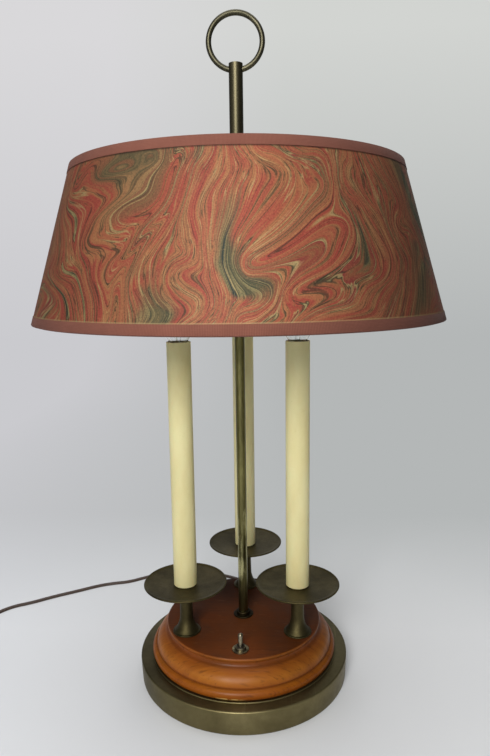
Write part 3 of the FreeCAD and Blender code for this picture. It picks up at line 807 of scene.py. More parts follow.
class Finishes:
    """Every finish of the lamp, made once."""

    def __init__(self, wood_foot: float, wood_top: float) -> None:
        """Makes the finishes.

        Args:
            wood_foot: The height of the plinth's foot, in metres.
            wood_top: The height of its top, in metres.
        """
        olive = tint(74, 62, 36)
        brown = tint(118, 104, 66)
        pale = tint(196, 182, 124)
        made = (
            AgedBrass("plate_brass", tint(104, 95, 64), tint(136, 125, 88), tint(152, 142, 104),
                      shine=0.4, dull=0.5, patch=16.0, wear=0.08, scratches=True, pits=0.00001,
                      top_shade=0.38, end_shade=0.35),
            AgedBrass("pan_brass", tint(58, 52, 32), tint(82, 74, 48), tint(112, 102, 70),
                      shine=0.4, dull=0.55, patch=40.0, wear=0.1, pits=0.00001),
            AgedBrass("rod_brass", tint(66, 62, 38), tint(126, 120, 76), tint(206, 200, 146),
                      shine=0.2, dull=0.34, patch=70.0, wear=0.3, draw=0.16, pits=0.00001,
                      rubbed=(0.085, 0.2)),
            AgedBrass("tube_brass", tint(56, 54, 40), tint(88, 82, 62), tint(118, 112, 86),
                      shine=0.36, dull=0.48, patch=60.0, wear=0.25, draw=0.16, pits=0.0, grit=0.1),
            AgedBrass("fitting_brass", olive, brown, pale, patch=80.0),
            AgedBrass("switch_brass", tint(92, 84, 66), tint(156, 148, 124), tint(232, 226, 208),
                      shine=0.24, dull=0.4, patch=160.0, wear=0.45),
            AgedBrass("dark_brass", tint(34, 28, 18), tint(60, 52, 34), tint(130, 118, 80),
                      shine=0.34, dull=0.5, patch=90.0, wear=0.12),
            AgedBrass("ring_brass", tint(58, 56, 44), tint(90, 86, 68), tint(116, 110, 86),
                      shine=0.36, dull=0.46, patch=34.0, wear=0.15, pits=0.0, grit=0.08),
            TurnedWood("plinth_wood", wood_top, wood_foot),
            IvoryCard("ivory_card", tint(207, 199, 150), tint(194, 182, 130)),
            MarbledPaper("marbled_paper"),
            MarbledPaper("paper_inside", inside=True),
            WovenTape("rim_tape", tint(144, 92, 76), tint(106, 64, 53)),
            Moulded("cord_skin", tint(58, 42, 32), tint(74, 56, 42), 0.42, 0.42),
            Moulded("plug_skin", tint(54, 38, 28), tint(72, 52, 38), 0.48, 0.4, 500.0),
            Moulded("rubber", tint(26, 24, 22), tint(40, 37, 34), 0.6, 0.3),
            Moulded("phenolic", tint(36, 26, 20), tint(52, 38, 30), 0.32, 0.5),
            Moulded("lead_skin", tint(196, 186, 160), tint(170, 158, 128), 0.5, 0.35),
            Moulded("splice_skin", tint(190, 60, 40), tint(160, 50, 36), 0.4, 0.45),
            BareMetal("cast_iron", tint(70, 66, 62), tint(96, 62, 44), 0.62, 260.0),
            BareMetal("zinc_steel", tint(168, 168, 160), tint(132, 126, 112), 0.36),
            BareMetal("shade_wire", tint(150, 146, 138), tint(110, 92, 74), 0.42),
            BareMetal("blade_brass", tint(206, 178, 108), tint(160, 134, 78), 0.26),
            Fibrous("green_felt", tint(38, 62, 42), tint(58, 84, 60), 0.4),
            Fibrous("grey_board", tint(134, 122, 102), tint(112, 100, 82), 0.1),
            ClearGlass("bulb_glass"),
        )
        self.named = {finish.name: finish.build() for finish in made}

    def of(self, name: str) -> bpy.types.Material:
        """The material of that name."""
        return self.named[name]


# Making pieces


class Outline:
    """The half-section of a turned piece: radius and height, in millimetres."""

    def __init__(self, radius: float, height: float) -> None:
        """Starts at a point.

        Args:
            radius: Its radius.
            height: Its height.
        """
        self.points = [(radius, height)]

    def line(self, *points: tuple[float, float]) -> "Outline":
        """Goes straight to each point in turn."""
        self.points.extend(points)
        return self

    def arc(self, middle: tuple[float, float], end: tuple[float, float], steps: int = 8) -> "Outline":
        """Goes on a round through a middle point to an end.

        Args:
            middle: A point on the round.
            end: Its end.
            steps: How many chords stand for it.

        Returns:
            The outline, for the next call.
        """
        ax, ay = self.points[-1]
        bx, by = middle
        cx, cy = end
        twice = 2 * (ax * (by - cy) + bx * (cy - ay) + cx * (ay - by))
        a2, b2, c2 = ax * ax + ay * ay, bx * bx + by * by, cx * cx + cy * cy
        ox = (a2 * (by - cy) + b2 * (cy - ay) + c2 * (ay - by)) / twice
        oy = (a2 * (cx - bx) + b2 * (ax - cx) + c2 * (bx - ax)) / twice
        start = math.atan2(ay - oy, ax - ox)
        half = (math.atan2(by - oy, bx - ox) - start) % math.tau
        whole = (math.atan2(cy - oy, cx - ox) - start) % math.tau
        sweep = whole if half < whole else whole - math.tau
        radius = math.hypot(ax - ox, ay - oy)
        for k in range(1, steps + 1):
            angle = start + sweep * k / steps
            self.points.append((ox + radius * math.cos(angle), oy + radius * math.sin(angle)))
        return self

    def spun(self, sides: int = 96, closed: bool = True) -> bmesh.types.BMesh:
        """Spins the section about Z.

        Args:
            sides: Steps of the full turn.
            closed: Whether the section's end joins its start.

        Returns:
            The spun mesh, in metres.
        """
        mesh = bmesh.new()
        verts = [mesh.verts.new((r * MM, 0.0, z * MM)) for r, z in self.points]
        edges = [mesh.edges.new(pair) for pair in zip(verts, verts[1:])]
        if closed and verts[0].co.x + verts[-1].co.x > 0:
            edges.append(mesh.edges.new((verts[-1], verts[0])))
        bmesh.ops.spin(mesh, geom=verts + edges, cent=(0, 0, 0), axis=(0, 0, 1), dvec=(0, 0, 0),
                       angle=math.tau, steps=sides, use_merge=True, use_normal_flip=False,
                       use_duplicate=False)
        bmesh.ops.remove_doubles(mesh, verts=mesh.verts, dist=1e-6)
        bmesh.ops.recalc_face_normals(mesh, faces=mesh.faces)
        return mesh


def softened(mesh: bmesh.types.BMesh, width: float, sharp: float = 30.0,
             segments: int = 2) -> bmesh.types.BMesh:
    """Rounds every edge whose faces meet at more than an angle.

    Args:
        mesh: The mesh, changed in place.
        width: The width of the round, in metres.
        sharp: The least angle, in degrees.
        segments: Steps across the round.

    Returns:
        The same mesh.
    """
    edges = [e for e in mesh.edges if e.is_manifold and e.calc_face_angle() > math.radians(sharp)]
    bmesh.ops.bevel(mesh, geom=edges, offset=width, offset_type="OFFSET", affect="EDGES",
                    segments=segments, profile=0.5, material=-1, clamp_overlap=True)
    return mesh


def moved(mesh: bmesh.types.BMesh, matrix: Matrix) -> bmesh.types.BMesh:
    """Moves a mesh to its place and returns it."""
    bmesh.ops.transform(mesh, matrix=matrix, verts=mesh.verts)
    return mesh


class Workshop:
    """Turns meshes into pieces that ride on the frame."""

    def __init__(self, frame: dict, finishes: Finishes) -> None:
        """Keeps the frame and the finishes.

        Args:
            finishes: The lamp's finishes.
        """
        self.nodes: dict[str, bpy.types.Object] = frame["nodes"]
        self.finishes = finishes

    def dress(self, finish: str, *nodes: str) -> None:
        """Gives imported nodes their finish.

        Args:
            finish: The finish's name.
            *nodes: The nodes.
        """
        for name in nodes:
            mesh = self.nodes[name].data
            mesh.materials.clear()
            mesh.materials.append(self.finishes.of(finish))
            LOG.info("node %s: %s", name, finish)

    def piece(self, name: str, mesh: bmesh.types.BMesh, finish: str, body: Body, slot: str,
              *replaced: str, sharp: float = 40.0, extra: Iterable[str] = ()) -> bpy.types.Object:
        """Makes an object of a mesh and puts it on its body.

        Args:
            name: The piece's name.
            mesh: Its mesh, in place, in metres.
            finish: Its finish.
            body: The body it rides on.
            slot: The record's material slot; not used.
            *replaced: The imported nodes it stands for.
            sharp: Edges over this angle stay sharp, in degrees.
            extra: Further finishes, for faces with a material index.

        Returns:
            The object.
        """
        for face in mesh.faces:
            face.smooth = True
        for edge in mesh.edges:
            edge.smooth = not (edge.is_manifold and edge.calc_face_angle() > math.radians(sharp))
        data = bpy.data.meshes.new(name)
        mesh.to_mesh(data)
        mesh.free()
        for material in (finish, *extra):
            data.materials.append(self.finishes.of(material))
        made = bpy.data.objects.new(name, data)
        bpy.context.scene.collection.objects.link(made)
        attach(made, body.value)
        if replaced:
            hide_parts(*replaced)
        LOG.info("piece %s: %s, %d faces", name, finish, len(data.polygons))
        return made


# The stage


@dataclass
class Studio:
    """A pale table and backdrop, soft lamps, and the camera.

    Attributes:
        camera_at: Where the camera stands, in metres.
        heading: How far it looks to the left, in degrees.
        pitch: How far it looks down, in degrees.
        roll: How far it is turned about its view, in degrees.
        lens: The focal length, in millimetres, on a 36 mm sensor.
        table_left: The table's colour on the left.
        table_right: Its colour on the right.
        wall_left: The wall's grey low on the left.
        wall_right: Its grey low on the right.
        sky_left: Its grey high on the left.
        sky_right: Its grey high on the right.
        fade_from: Where the wall's painted glow starts, in metres behind the object's middle.
        fade_to: Where it is whole.
    """

    camera_at: tuple[float, float, float] = (0.0304, -0.5888, 0.3966)
    heading: float = 2.496
    pitch: float = 9.123
    roll: float = 0.745
    lens: float = 29.393
    table_left: Colour = tint(223, 225, 230)
    table_right: Colour = tint(214, 215, 216)
    wall_left: Colour = tint(202, 202, 206)
    wall_right: Colour = tint(180, 183, 183)
    sky_left: Colour = tint(217, 216, 218)
    sky_right: Colour = tint(210, 212, 209)
    fade_from: float = 0.06
    fade_to: float = 0.42

    def camera(self) -> None:
        """Makes the camera and gives it to the scene."""
        data = bpy.data.cameras.new("camera")
        data.lens = self.lens
        data.sensor_width = 36.0
        data.clip_start = 0.01
        made = bpy.data.objects.new("camera", data)
        made.location = self.camera_at
        turn = Matrix.Rotation(math.radians(self.heading), 4, "Z")
        turn @= Matrix.Rotation(math.radians(90.0 - self.pitch), 4, "X")
        turn @= Matrix.Rotation(math.radians(-self.roll), 4, "Z")
        made.rotation_euler = turn.to_euler()
        bpy.context.scene.collection.objects.link(made)
        bpy.context.scene.camera = made

    def backdrop(self) -> None:
        """Makes the table top that sweeps up into the backdrop."""
        mesh = bmesh.new()
        front, foot, high, bend, left, right = -2.6, 1.5, 3.2, 0.9, -2.0, 1.7
        section = [mesh.verts.new((left, front, 0.0)), mesh.verts.new((left, foot, 0.0))]
        for k in range(1, 9):
            angle = math.pi / 2 * k / 8
            y, z = foot + bend * math.sin(angle), bend * (1 - math.cos(angle))
            section.append(mesh.verts.new((left, y, z)))
        section.append(mesh.verts.new((left, foot + bend, high)))
        edges = [mesh.edges.new(pair) for pair in zip(section, section[1:])]
        grown = bmesh.ops.extrude_edge_only(mesh, edges=edges)["geom"]
        verts = [piece for piece in grown if isinstance(piece, bmesh.types.BMVert)]
        bmesh.ops.translate(mesh, vec=(right - left, 0.0, 0.0), verts=verts)
        for face in mesh.faces:
            face.smooth = True
        data = bpy.data.meshes.new("table_and_backdrop")
        mesh.to_mesh(data)
        mesh.free()
        data.materials.append(self.sweep_paint_and_glow())
        made = bpy.data.objects.new("table_and_backdrop", data)
        bpy.context.scene.collection.objects.link(made)

    def sweep_paint_and_glow(self) -> bpy.types.Material:
        """The sweep's paint and glow: lit on the table, and glowing with painted light behind the object.

        Returns:
            The material.
        """
        graph = Graph("pale_sweep")
        graph.constants(Specular_IOR_Level=0.0)
        x, y, z = graph.axes(graph.place())
        # Painted light: lighter greys to the left on table and wall, and a lighter wall upward, as light falls
        # on them; behind the object the wall glows with them for camera, glossy and transmission rays.
        side = graph.span(x, -0.7, 0.1)
        near = graph.mix(side, self.table_left, self.table_right)
        low = graph.mix(side, self.wall_left, self.wall_right)
        high = graph.mix(side, self.sky_left, self.sky_right)
        wall = graph.mix(graph.span(z, 0.15, 1.5), low, high)
        graph.finish(near, 0.9)
        glow = graph.node("ShaderNodeEmission")
        graph.link(wall, glow.inputs["Color"])
        path = graph.node("ShaderNodeLightPath").outputs
        seen = graph.plus(path["Is Camera Ray"], path["Is Glossy Ray"])
        seen = graph.sum_of("MINIMUM", graph.plus(seen, path["Is Transmission Ray"]), 1.0)
        share = graph.times(graph.span(y, self.fade_from, self.fade_to), seen)
        both = graph.node("ShaderNodeMixShader")
        graph.link(share, both.inputs["Fac"])
        graph.link(graph.surface.outputs["BSDF"], both.inputs[1])
        graph.link(glow.outputs["Emission"], both.inputs[2])
        graph.link(both.outputs["Shader"], graph.output.inputs["Surface"])
        return graph.material

    def lamp(self, name: str, at: tuple[float, float, float], power: float, size: float) -> None:
        """Adds a soft square lamp aimed at the middle of the object.

        Args:
            name: Its name.
            at: Its place, in metres.
            power: Its power, in watts.
            size: Its side, in metres.
        """
        data = bpy.data.lights.new(name, "AREA")
        data.energy = power
        data.size = size
        made = bpy.data.objects.new(name, data)
        made.location = at
        made.rotation_euler = (Vector((0.0, 0.0, 0.3)) - Vector(at)).to_track_quat("-Z", "Y").to_euler()
        bpy.context.scene.collection.objects.link(made)

    def light(self) -> None:
        """Sets the world and the lamps."""
        world = bpy.data.worlds.new("soft_room")
        world.use_nodes = True
        room = world.node_tree.nodes["Background"]
        room.inputs["Color"].default_value = (0.95, 0.97, 1.0, 1.0)
        room.inputs["Strength"].default_value = 0.13
        bpy.context.scene.world = world
        self.lamp("key_lamp", (-0.42, -2.25, 1.35), 62.0, 1.0)
        self.lamp("fill_lamp", (-2.2, -0.9, 0.9), 2.5, 1.2)
        self.lamp("top_lamp", (0.0, 0.2, 2.4), 26.0, 1.8)
        bpy.context.scene.view_settings.view_transform = "Standard"

    def build(self) -> None:
        """Makes the camera, the backdrop and the light."""
        self.camera()
        self.backdrop()
        self.light()


# The cord


@dataclass
class MainsCord:
    """The flat two-core lead: across the table to the left, its spare length coiled, and its plug.

    Attributes:
        shop: The workshop.
        width: The cord's width over both cores, in millimetres.
        thick: Its thickness.
        coil_at: The middle of the coil.
        coil_start_r: The radius where the coil starts.
        pitch: The step from turn to turn.
        layer: The step from layer to layer.
        turns: Turns on each layer.
        climb_dip: How far the climb between the layers swings in.
        tail: The straight stretch from the coil to the plug.
        plug_z: The height of the plug's middle.
        points_per_turn: Route points on each turn.
        length: The whole length, in metres; not used.
        route: Its points from the bushing to the coil.
    """

    shop: Workshop
    width: float = 5.2
    thick: float = 2.8
    coil_at: tuple[float, float] = (-351.0, 40.0)
    coil_start_r: float = 41.0
    pitch: float = 5.9
    layer: float = 3.2
    turns: float = 3.25
    climb_dip: float = 1.5
    tail: float = 25.6
    plug_z: float = 8.5
    points_per_turn: int = 16
    length: float = 1.8
    route: tuple[Place, ...] = (
        (0.0, 129.0, 9.2), (0.0, 145.0, 9.2), (-5.0, 165.5, 6.0), (-22.0, 184.0, 2.6),
        (-49.0, 196.5, 2.6), (-82.0, 201.5, 2.6), (-115.0, 197.5, 2.6), (-139.0, 184.0, 2.6),
        (-159.5, 170.5, 2.6), (-177.5, 166.5, 2.6), (-196.5, 160.0, 2.6), (-221.0, 145.0, 2.6),
        (-248.0, 130.0, 2.6), (-270.5, 114.5, 2.6), (-290.0, 105.5, 2.6), (-304.0, 89.5, 2.6),
        (-310.0, 68.5, 2.6), (-310.0, 45.2, 2.6),
    )

    def resting(self, z: float) -> float:
        """The height of the flat cord's middle where the round one of the frame lies on the table."""
        return self.thick / 2 if z < 2.7 else z

    def coil_points(self) -> list[Place]:
        """The coil's route: in on the lower layer, up in half a turn, out on the upper one.

        Returns:
            Its points, in millimetres.
        """
        points = []
        whole = 2 * self.turns + 0.5
        count = round(whole * self.points_per_turn)
        for k in range(1, count + 1):
            turned = whole * k / count
            climb = min(max((turned - self.turns) / 0.5, 0.0), 1.0)
            inward = min(turned, self.turns)
            outward = max(turned - self.turns - 0.5, 0.0)
            dip = self.climb_dip * math.sin(math.pi * climb) ** 2
            radius = self.coil_start_r - self.pitch * (inward - outward) - dip
            angle = -math.tau * turned
            x, y = self.coil_at[0] + radius * math.cos(angle), self.coil_at[1] + radius * math.sin(angle)
            points.append((x, y, self.thick / 2 + self.layer * climb))
        x, y, z = points[-1]
        for share in (0.35, 0.7, 1.0):
            points.append((x, y - self.tail * share, z + (self.plug_z - z) * share))
        return points

    def section(self) -> bpy.types.Object:
        """The cord's section: two round cores side by side, joined by a web.

        Returns:
            The curve that holds it.
        """
        curve = bpy.data.curves.new("cord_section", "CURVE")
        curve.dimensions = "2D"
        spline = curve.splines.new("POLY")
        core = self.thick / 2
        offset = (self.width - self.thick) / 2
        around = 7
        points = []
        for side in (1, -1):
            for k in range(around):
                angle = math.radians(-118.0 + 236.0 * k / (around - 1))
                points.append((side * (offset + core * math.cos(angle)), side * core * math.sin(angle)))
        spline.points.add(len(points) - 1)
        for point, (x, y) in zip(spline.points, points):
            point.co = (x * MM, y * MM, 0.0, 1.0)
        spline.use_cyclic_u = True
        return bpy.data.objects.new("cord_section", curve)

    def build(self) -> None:
        """Makes the cord and its plug, and logs its route points."""
        curve = bpy.data.curves.new("flat_cord", "CURVE")
        curve.dimensions = "3D"
        curve.twist_mode = "Z_UP"
        curve.resolution_u = 6
        route = [(x, y, self.resting(z)) for x, y, z in self.route] + self.coil_points()
        spline = curve.splines.new("NURBS")
        spline.points.add(len(route) - 1)
        for point, (x, y, z) in zip(spline.points, route):
            point.co = (x * MM, y * MM, z * MM, 1.0)
        spline.order_u = 3
        spline.use_endpoint_u = True
        curve.bevel_mode = "OBJECT"
        curve.bevel_object = self.section()
        curve.use_fill_caps = True
        curve.materials.append(self.shop.finishes.of("cord_skin"))
        cord = bpy.data.objects.new("flat_cord", curve)
        bpy.context.scene.collection.objects.link(cord)
        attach(cord, Body.BASE.value)
        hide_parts("mains_cord", "cord_coil")
        plug = self.plug()
        start = tuple(value * MM for value in self.route[0])
        self.shop.dress("blade_brass", "plug_blades")
        self.shop.dress("rubber", "cord_bushing")
        LOG.info("cord: %d route points", len(route))

    def plug(self) -> bpy.types.Object:
        """The moulded plug, with its grip drawn in.

        Returns:
            The plug.
        """
        low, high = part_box("plug_body")
        size = high - low
        mesh = bmesh.new()
        bmesh.ops.create_cube(mesh, size=1.0)
        bmesh.ops.scale(mesh, vec=(size.x, size.y, size.z), verts=mesh.verts)
        bmesh.ops.translate(mesh, vec=(low + high) / 2, verts=mesh.verts)
        grip = 0.42
        for share in (grip, 0.5, 0.58, 0.66, 0.74, 0.82):
            bmesh.ops.bisect_plane(mesh, geom=mesh.verts[:] + mesh.edges[:] + mesh.faces[:],
                                   plane_co=(0.0, low.y + size.y * share, 0.0), plane_no=(0, 1, 0))
        middle = (low + high) / 2
        for vert in mesh.verts:
            share = (vert.co.y - low.y) / size.y
            draw = max(0.0, (share - grip) / (1 - grip)) ** 0.8
            wide = 1.0 - 0.46 * draw
            vert.co.x = middle.x + (vert.co.x - middle.x) * wide
            vert.co.z = middle.z + (vert.co.z - middle.z) * wide
        softened(mesh, 1.6 * MM, 50.0, 4)
        return self.shop.piece("moulded_plug", mesh, "plug_skin", Body.BASE, "plug_brown", "plug_body")


# The base


@dataclass
class Base:
    """The brass plate, the turned plinth and what holds them together.

    Attributes:
        shop: The workshop.
        plate_r: The plate's radius at its top edge, in millimetres.
        foot_r: Its radius at its lower edge.
        height: Its height.
        wall: Its thickness.
        seat_r: The radius of its raised seat.
        seat_top: The height of the seat.
        lift: How far its rim stands off the table.
        wood_top: The height of the plinth's top.
        bore: The radius of the hole through both.
        recess_r: The radius of the plinth's hollow.
        recess_top: The height of its ceiling.
        top_r: The radius of the plinth's flat top.
        bead: A point on the bead's round, and its end.
        cove: The same of the cove.
        ovolo: The same of the ovolo.
        torus: The same of the torus.
    """

    shop: Workshop
    plate_r: float = 105.0
    foot_r: float = 104.0
    height: float = 23.3
    wall: float = 2.0
    seat_r: float = 93.4
    seat_top: float = 24.2
    lift: float = 0.3
    wood_top: float = 56.0
    bore: float = 4.85
    recess_r: float = 72.0
    recess_top: float = 47.0
    top_r: float = 76.2
    bead: tuple[Point, Point] = ((77.8, 54.7), (76.8, 53.3))
    cove: tuple[Point, Point] = ((76.0, 50.2), (78.6, 47.2))
    ovolo: tuple[Point, Point] = ((85.4, 42.2), (88.4, 35.4))
    torus: tuple[Point, Point] = ((93.0, 28.8), (90.7, 24.5))

    def plate(self) -> None:
        """The spun plate, its top edge rolled over."""
        outline = Outline(self.bore, self.seat_top)
        outline.line((60.0, self.seat_top), (self.seat_r - 0.5, self.seat_top))
        outline.arc((self.seat_r - 0.12, self.seat_top - 0.12), (self.seat_r, self.seat_top - 0.45), 3)
        outline.line((self.seat_r + 0.1, self.height + 0.05), (self.seat_r + 1.2, self.height))
        outline.line((self.plate_r - 1.6, self.height))
        outline.arc((self.plate_r - 0.5, self.height - 0.4), (self.plate_r - 0.05, self.height - 1.5), 5)
        outline.line((self.foot_r + 0.35, 8.0), (self.foot_r, self.lift + 0.8))
        outline.arc((self.foot_r - 0.25, self.lift + 0.2), (self.foot_r - 0.9, self.lift), 3)
        inner, ceiling = self.foot_r - self.wall, self.height - self.wall
        outline.line((inner, self.lift), (inner, ceiling - 2))
        outline.arc((inner - 0.6, ceiling - 0.6), (inner - 2.0, ceiling), 3)
        outline.line((self.bore, ceiling))
        self.shop.piece("spun_plate", outline.spun(160), "plate_brass", Body.BASE, "plate_brass",
                        "base_plate")

    def plinth(self) -> None:
        """The turned block with its bead, cove, ovolo and torus."""
        outline = Outline(self.bore, self.wood_top)
        outline.line(*((radius, self.wood_top) for radius in (30.0, 60.0, self.top_r)))
        outline.arc(*self.bead, 6).line((76.6, 53.0))
        outline.arc(*self.cove, 8).line((79.4, 46.7), (79.6, 46.4))
        outline.arc(*self.ovolo, 10).line((88.7, 34.2), (88.5, 33.5), (89.7, 33.3))
        outline.arc(*self.torus, 12).line((90.3, self.seat_top), (self.recess_r, self.seat_top))
        outline.line((self.recess_r, self.recess_top), (self.bore, self.recess_top))
        self.shop.piece("turned_plinth", outline.spun(160), "plinth_wood", Body.BASE, "plinth_wood",
                        "wood_plinth", sharp=36.0)

    def build(self) -> None:
        """Makes the base."""
        self.plate()
        self.plinth()
        self.shop.dress("green_felt", "felt_pad")
        self.shop.dress("grey_board", "bottom_board")
        self.shop.dress("cast_iron", "base_weight")
        self.shop.dress("zinc_steel", "plinth_screws", "column_washer", "column_nut", "pipe_locknuts")
        self.shop.dress("lead_skin", "socket_leads", "supply_tail")
        self.shop.dress("splice_skin", "wire_splices")


# The column and its switch


@dataclass
class Column:
    """The rod, its foot collar and the toggle switch in front of it.

    Attributes:
        shop: The workshop.
    """

    shop: Workshop

    def build(self) -> None:
        """Dresses the column and the switch."""
        self.shop.dress("rod_brass", "column_rod")
        self.shop.dress("dark_brass", "column_collar")
        self.shop.dress("phenolic", "switch_body")
        self.shop.dress("switch_brass", "switch_washer", "switch_nut", "switch_lever")


# The candles


@dataclass
class Candle:
    """One candle: foot, drip pan, cover, socket and bulb.

    Attributes:
        shop: The workshop.
        name: Its place on the plinth: back, left or right.
        angle: The direction of that place, in degrees.
        ring_r: The radius of the candle circle, in millimetres.
        pipe_r: The radius of the pipe through it.
        foot_r: The foot's radius at its flange.
        flange: The flange's thickness.
        neck_r: The radius of the foot's neck.
        head_r: The radius of its flared top.
        hub_r: The radius of the pan's flat middle.
        pan_r: The pan's radius at its rim.
        sheet: The thickness of its metal.
        cover_r: The cover's radius.
        cover_bore: The radius of the cover's bore.
        cover_edge: The round of its upper edge.
        bulb_seat_r: The radius of the bulb at its cap.
        bulb_r: Its greatest radius.
        bulb_high: Its height.
        wire_r: The radius of the filament's support wires.
        coil_r: The radius of the filament's coil.
        wood_top: The height of the plinth's top.
        pan_under: The height of the pan's underside.
        sleeve_low: The height of the cover's foot.
        sleeve_top: The height of its upper edge.
    """

    shop: Workshop
    name: str
    angle: float
    ring_r: float = 62.6
    pipe_r: float = 4.6
    foot_r: float = 13.6
    flange: float = 1.5
    neck_r: float = 5.85
    head_r: float = 8.4
    hub_r: float = 12.5
    pan_r: float = 40.0
    sheet: float = 1.0
    cover_r: float = 11.13
    cover_bore: float = 10.33
    cover_edge: float = 0.4
    bulb_seat_r: float = 5.8
    bulb_r: float = 15.5
    bulb_high: float = 84.0
    wire_r: float = 0.25
    coil_r: float = 0.35
    wood_top: float = field(init=False)
    pan_under: float = field(init=False)
    sleeve_low: float = field(init=False)
    sleeve_top: float = field(init=False)

    def __post_init__(self) -> None:
        """Reads its levels from the frame."""
        self.wood_top, self.pan_under = (corner.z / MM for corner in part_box(f"candle_foot_{self.name}"))
        self.sleeve_low, self.sleeve_top = (corner.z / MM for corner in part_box(f"candle_sleeve_{self.name}"))

    def at(self, mesh: bmesh.types.BMesh) -> bmesh.types.BMesh:
        """Moves a mesh from the Z axis to the candle's place."""
        turn = Matrix.Rotation(math.radians(self.angle), 4, "Z")
        return moved(mesh, turn @ Matrix.Translation((self.ring_r * MM, 0.0, 0.0)))

    def add(self, part: str, outline: Outline, finish: str, slot: str, node: str, sides: int = 64) -> None:
        """Spins an outline and puts it at the candle's place.

        Args:
            part: The piece's name before the place.
            outline: Its half-section.
            finish: Its finish.
            slot: The record's material slot.
            node: The node it stands for, before the place.
            sides: Steps of the full turn.
        """
        self.shop.piece(f"{part}_{self.name}", self.at(outline.spun(sides)), finish, Body.BASE, slot,
                        f"{node}_{self.name}")

    def foot(self) -> None:
        """The turned foot: a rounded flange, a hollow sweep, a slim neck and a flared top."""
        low, high = self.wood_top, self.pan_under
        outline = Outline(self.pipe_r, low)
        edge = self.foot_r - 0.6
        outline.line((edge, low))
        outline.arc((self.foot_r, low + self.flange / 2), (edge, low + self.flange), 4)
        outline.line((edge - 1.0, low + self.flange + 0.2))
        outline.arc((8.5, low + 7.4), (6.3, low + 17.7), 10)
        outline.line((self.neck_r, high - 9.4))
        outline.arc((6.5, high - 4.2), (self.head_r, high - 1.0), 6)
        outline.line((self.head_r, high), (self.pipe_r, high))
        self.add("turned_foot", outline, "pan_brass", "pan_brass", "candle_foot")

    def pan(self) -> None:
        """The drip pan, dished, with a rolled rim."""
        low = self.pan_under
        outline = Outline(self.pipe_r, low)
        outline.line((self.hub_r, low))
        outline.arc((26.2, low + 0.94), (self.pan_r - 1.4, low + 2.4), 8)
        outline.arc((self.pan_r, low + 2.9), (self.pan_r - 0.9, low + 3.6), 6)
        outline.arc((self.pan_r - 1.5, low + 3.5), (self.pan_r - 2.0, low + 3.1), 3)
        outline.arc((26.0, low + 1.9), (self.hub_r, low + self.sheet), 8)
        outline.line((self.pipe_r, low + self.sheet))
        self.add("dished_pan", outline, "pan_brass", "pan_brass", "drip_pan", 96)

    def cover(self) -> None:
        """The card cover, its upper edge a little rounded."""
        outer, inner, edge = self.cover_r, self.cover_bore, self.cover_edge
        low, high = self.sleeve_low, self.sleeve_top
        outline = Outline(inner, low)
        outline.line(*((outer, low + step) for step in (0, 60, 120, 180)), (outer, high - edge))
        outline.arc((outer - 0.3 * edge, high - edge / 4), (outer - edge, high), 3)
        outline.line((inner, high), (inner, high - 40))
        self.add("card_cover", outline, "ivory_card", "ivory_sleeve", "candle_sleeve", 72)

    def bulb(self) -> None:
        """The clear flame-shaped bulb with its drawn-out tip."""
        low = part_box(f"bulb_glass_{self.name}")[0].z / MM
        outline = Outline(self.bulb_seat_r, low)
        outline.line((self.bulb_seat_r + 0.8, low))
        outline.arc((13.3, low + 12.5), (self.bulb_r, low + 25.0), 10)
        outline.arc((11.8, low + 51.6), (2.8, low + 79.8), 14)
        outline.arc((1.4, low + 82.6), (0.0, low + self.bulb_high), 5)
        outline.line((0.0, low + self.bulb_high - 5.6))
        outline.arc((10.9, low + 51.6), (self.bulb_r - 0.8, low + 25.0), 14)
        outline.arc((12.4, low + 12.5), (self.bulb_seat_r, low), 10)
        self.add("clear_bulb", outline, "bulb_glass", "bulb_glass", "bulb_glass", 48)
        stem = Outline(0.0, low + 1.0).line((2.2, low + 1.0), (1.8, low + 14.0))
        mesh = stem.arc((1.0, low + 17.0), (0.0, low + 18.0), 4).spun(20, closed=False)
        self.shop.piece(f"glass_stem_{self.name}", self.at(mesh), "bulb_glass", Body.BASE, "bulb_glass")
        self.filament(low)

    def filament(self, low: float) -> None:
        """Two support wires and the fine coil between them.

        Args:
            low: The height of the bulb's foot, in millimetres.
        """
        mesh = bmesh.new()
        # The radius and length of each, its place across and up, and its lean
        wires = [(self.wire_r, 26.0, 3.0 * side, 28.0, 0.12 * side) for side in (-1, 1)]
        for radius, length, x, z, lean in (*wires, (self.coil_r, 9.4, 0.0, 40.8, math.pi / 2)):
            place = Matrix.Translation((x * MM, 0, (low + z) * MM)) @ Matrix.Rotation(lean, 4, "Y")
            bmesh.ops.create_cone(mesh, cap_ends=True, segments=8, radius1=radius * MM, radius2=radius * MM,
                                  depth=length * MM, matrix=place)
        self.shop.piece(f"filament_{self.name}", self.at(mesh), "zinc_steel", Body.BASE, "zinc_steel")

    def build(self) -> None:
        """Makes the candle."""
        self.foot()
        self.pan()
        self.cover()
        self.bulb()
        self.shop.dress("fitting_brass", f"riser_pipe_{self.name}", f"bulb_cap_{self.name}")
        self.shop.dress("phenolic", f"socket_{self.name}")


# The sliding tube


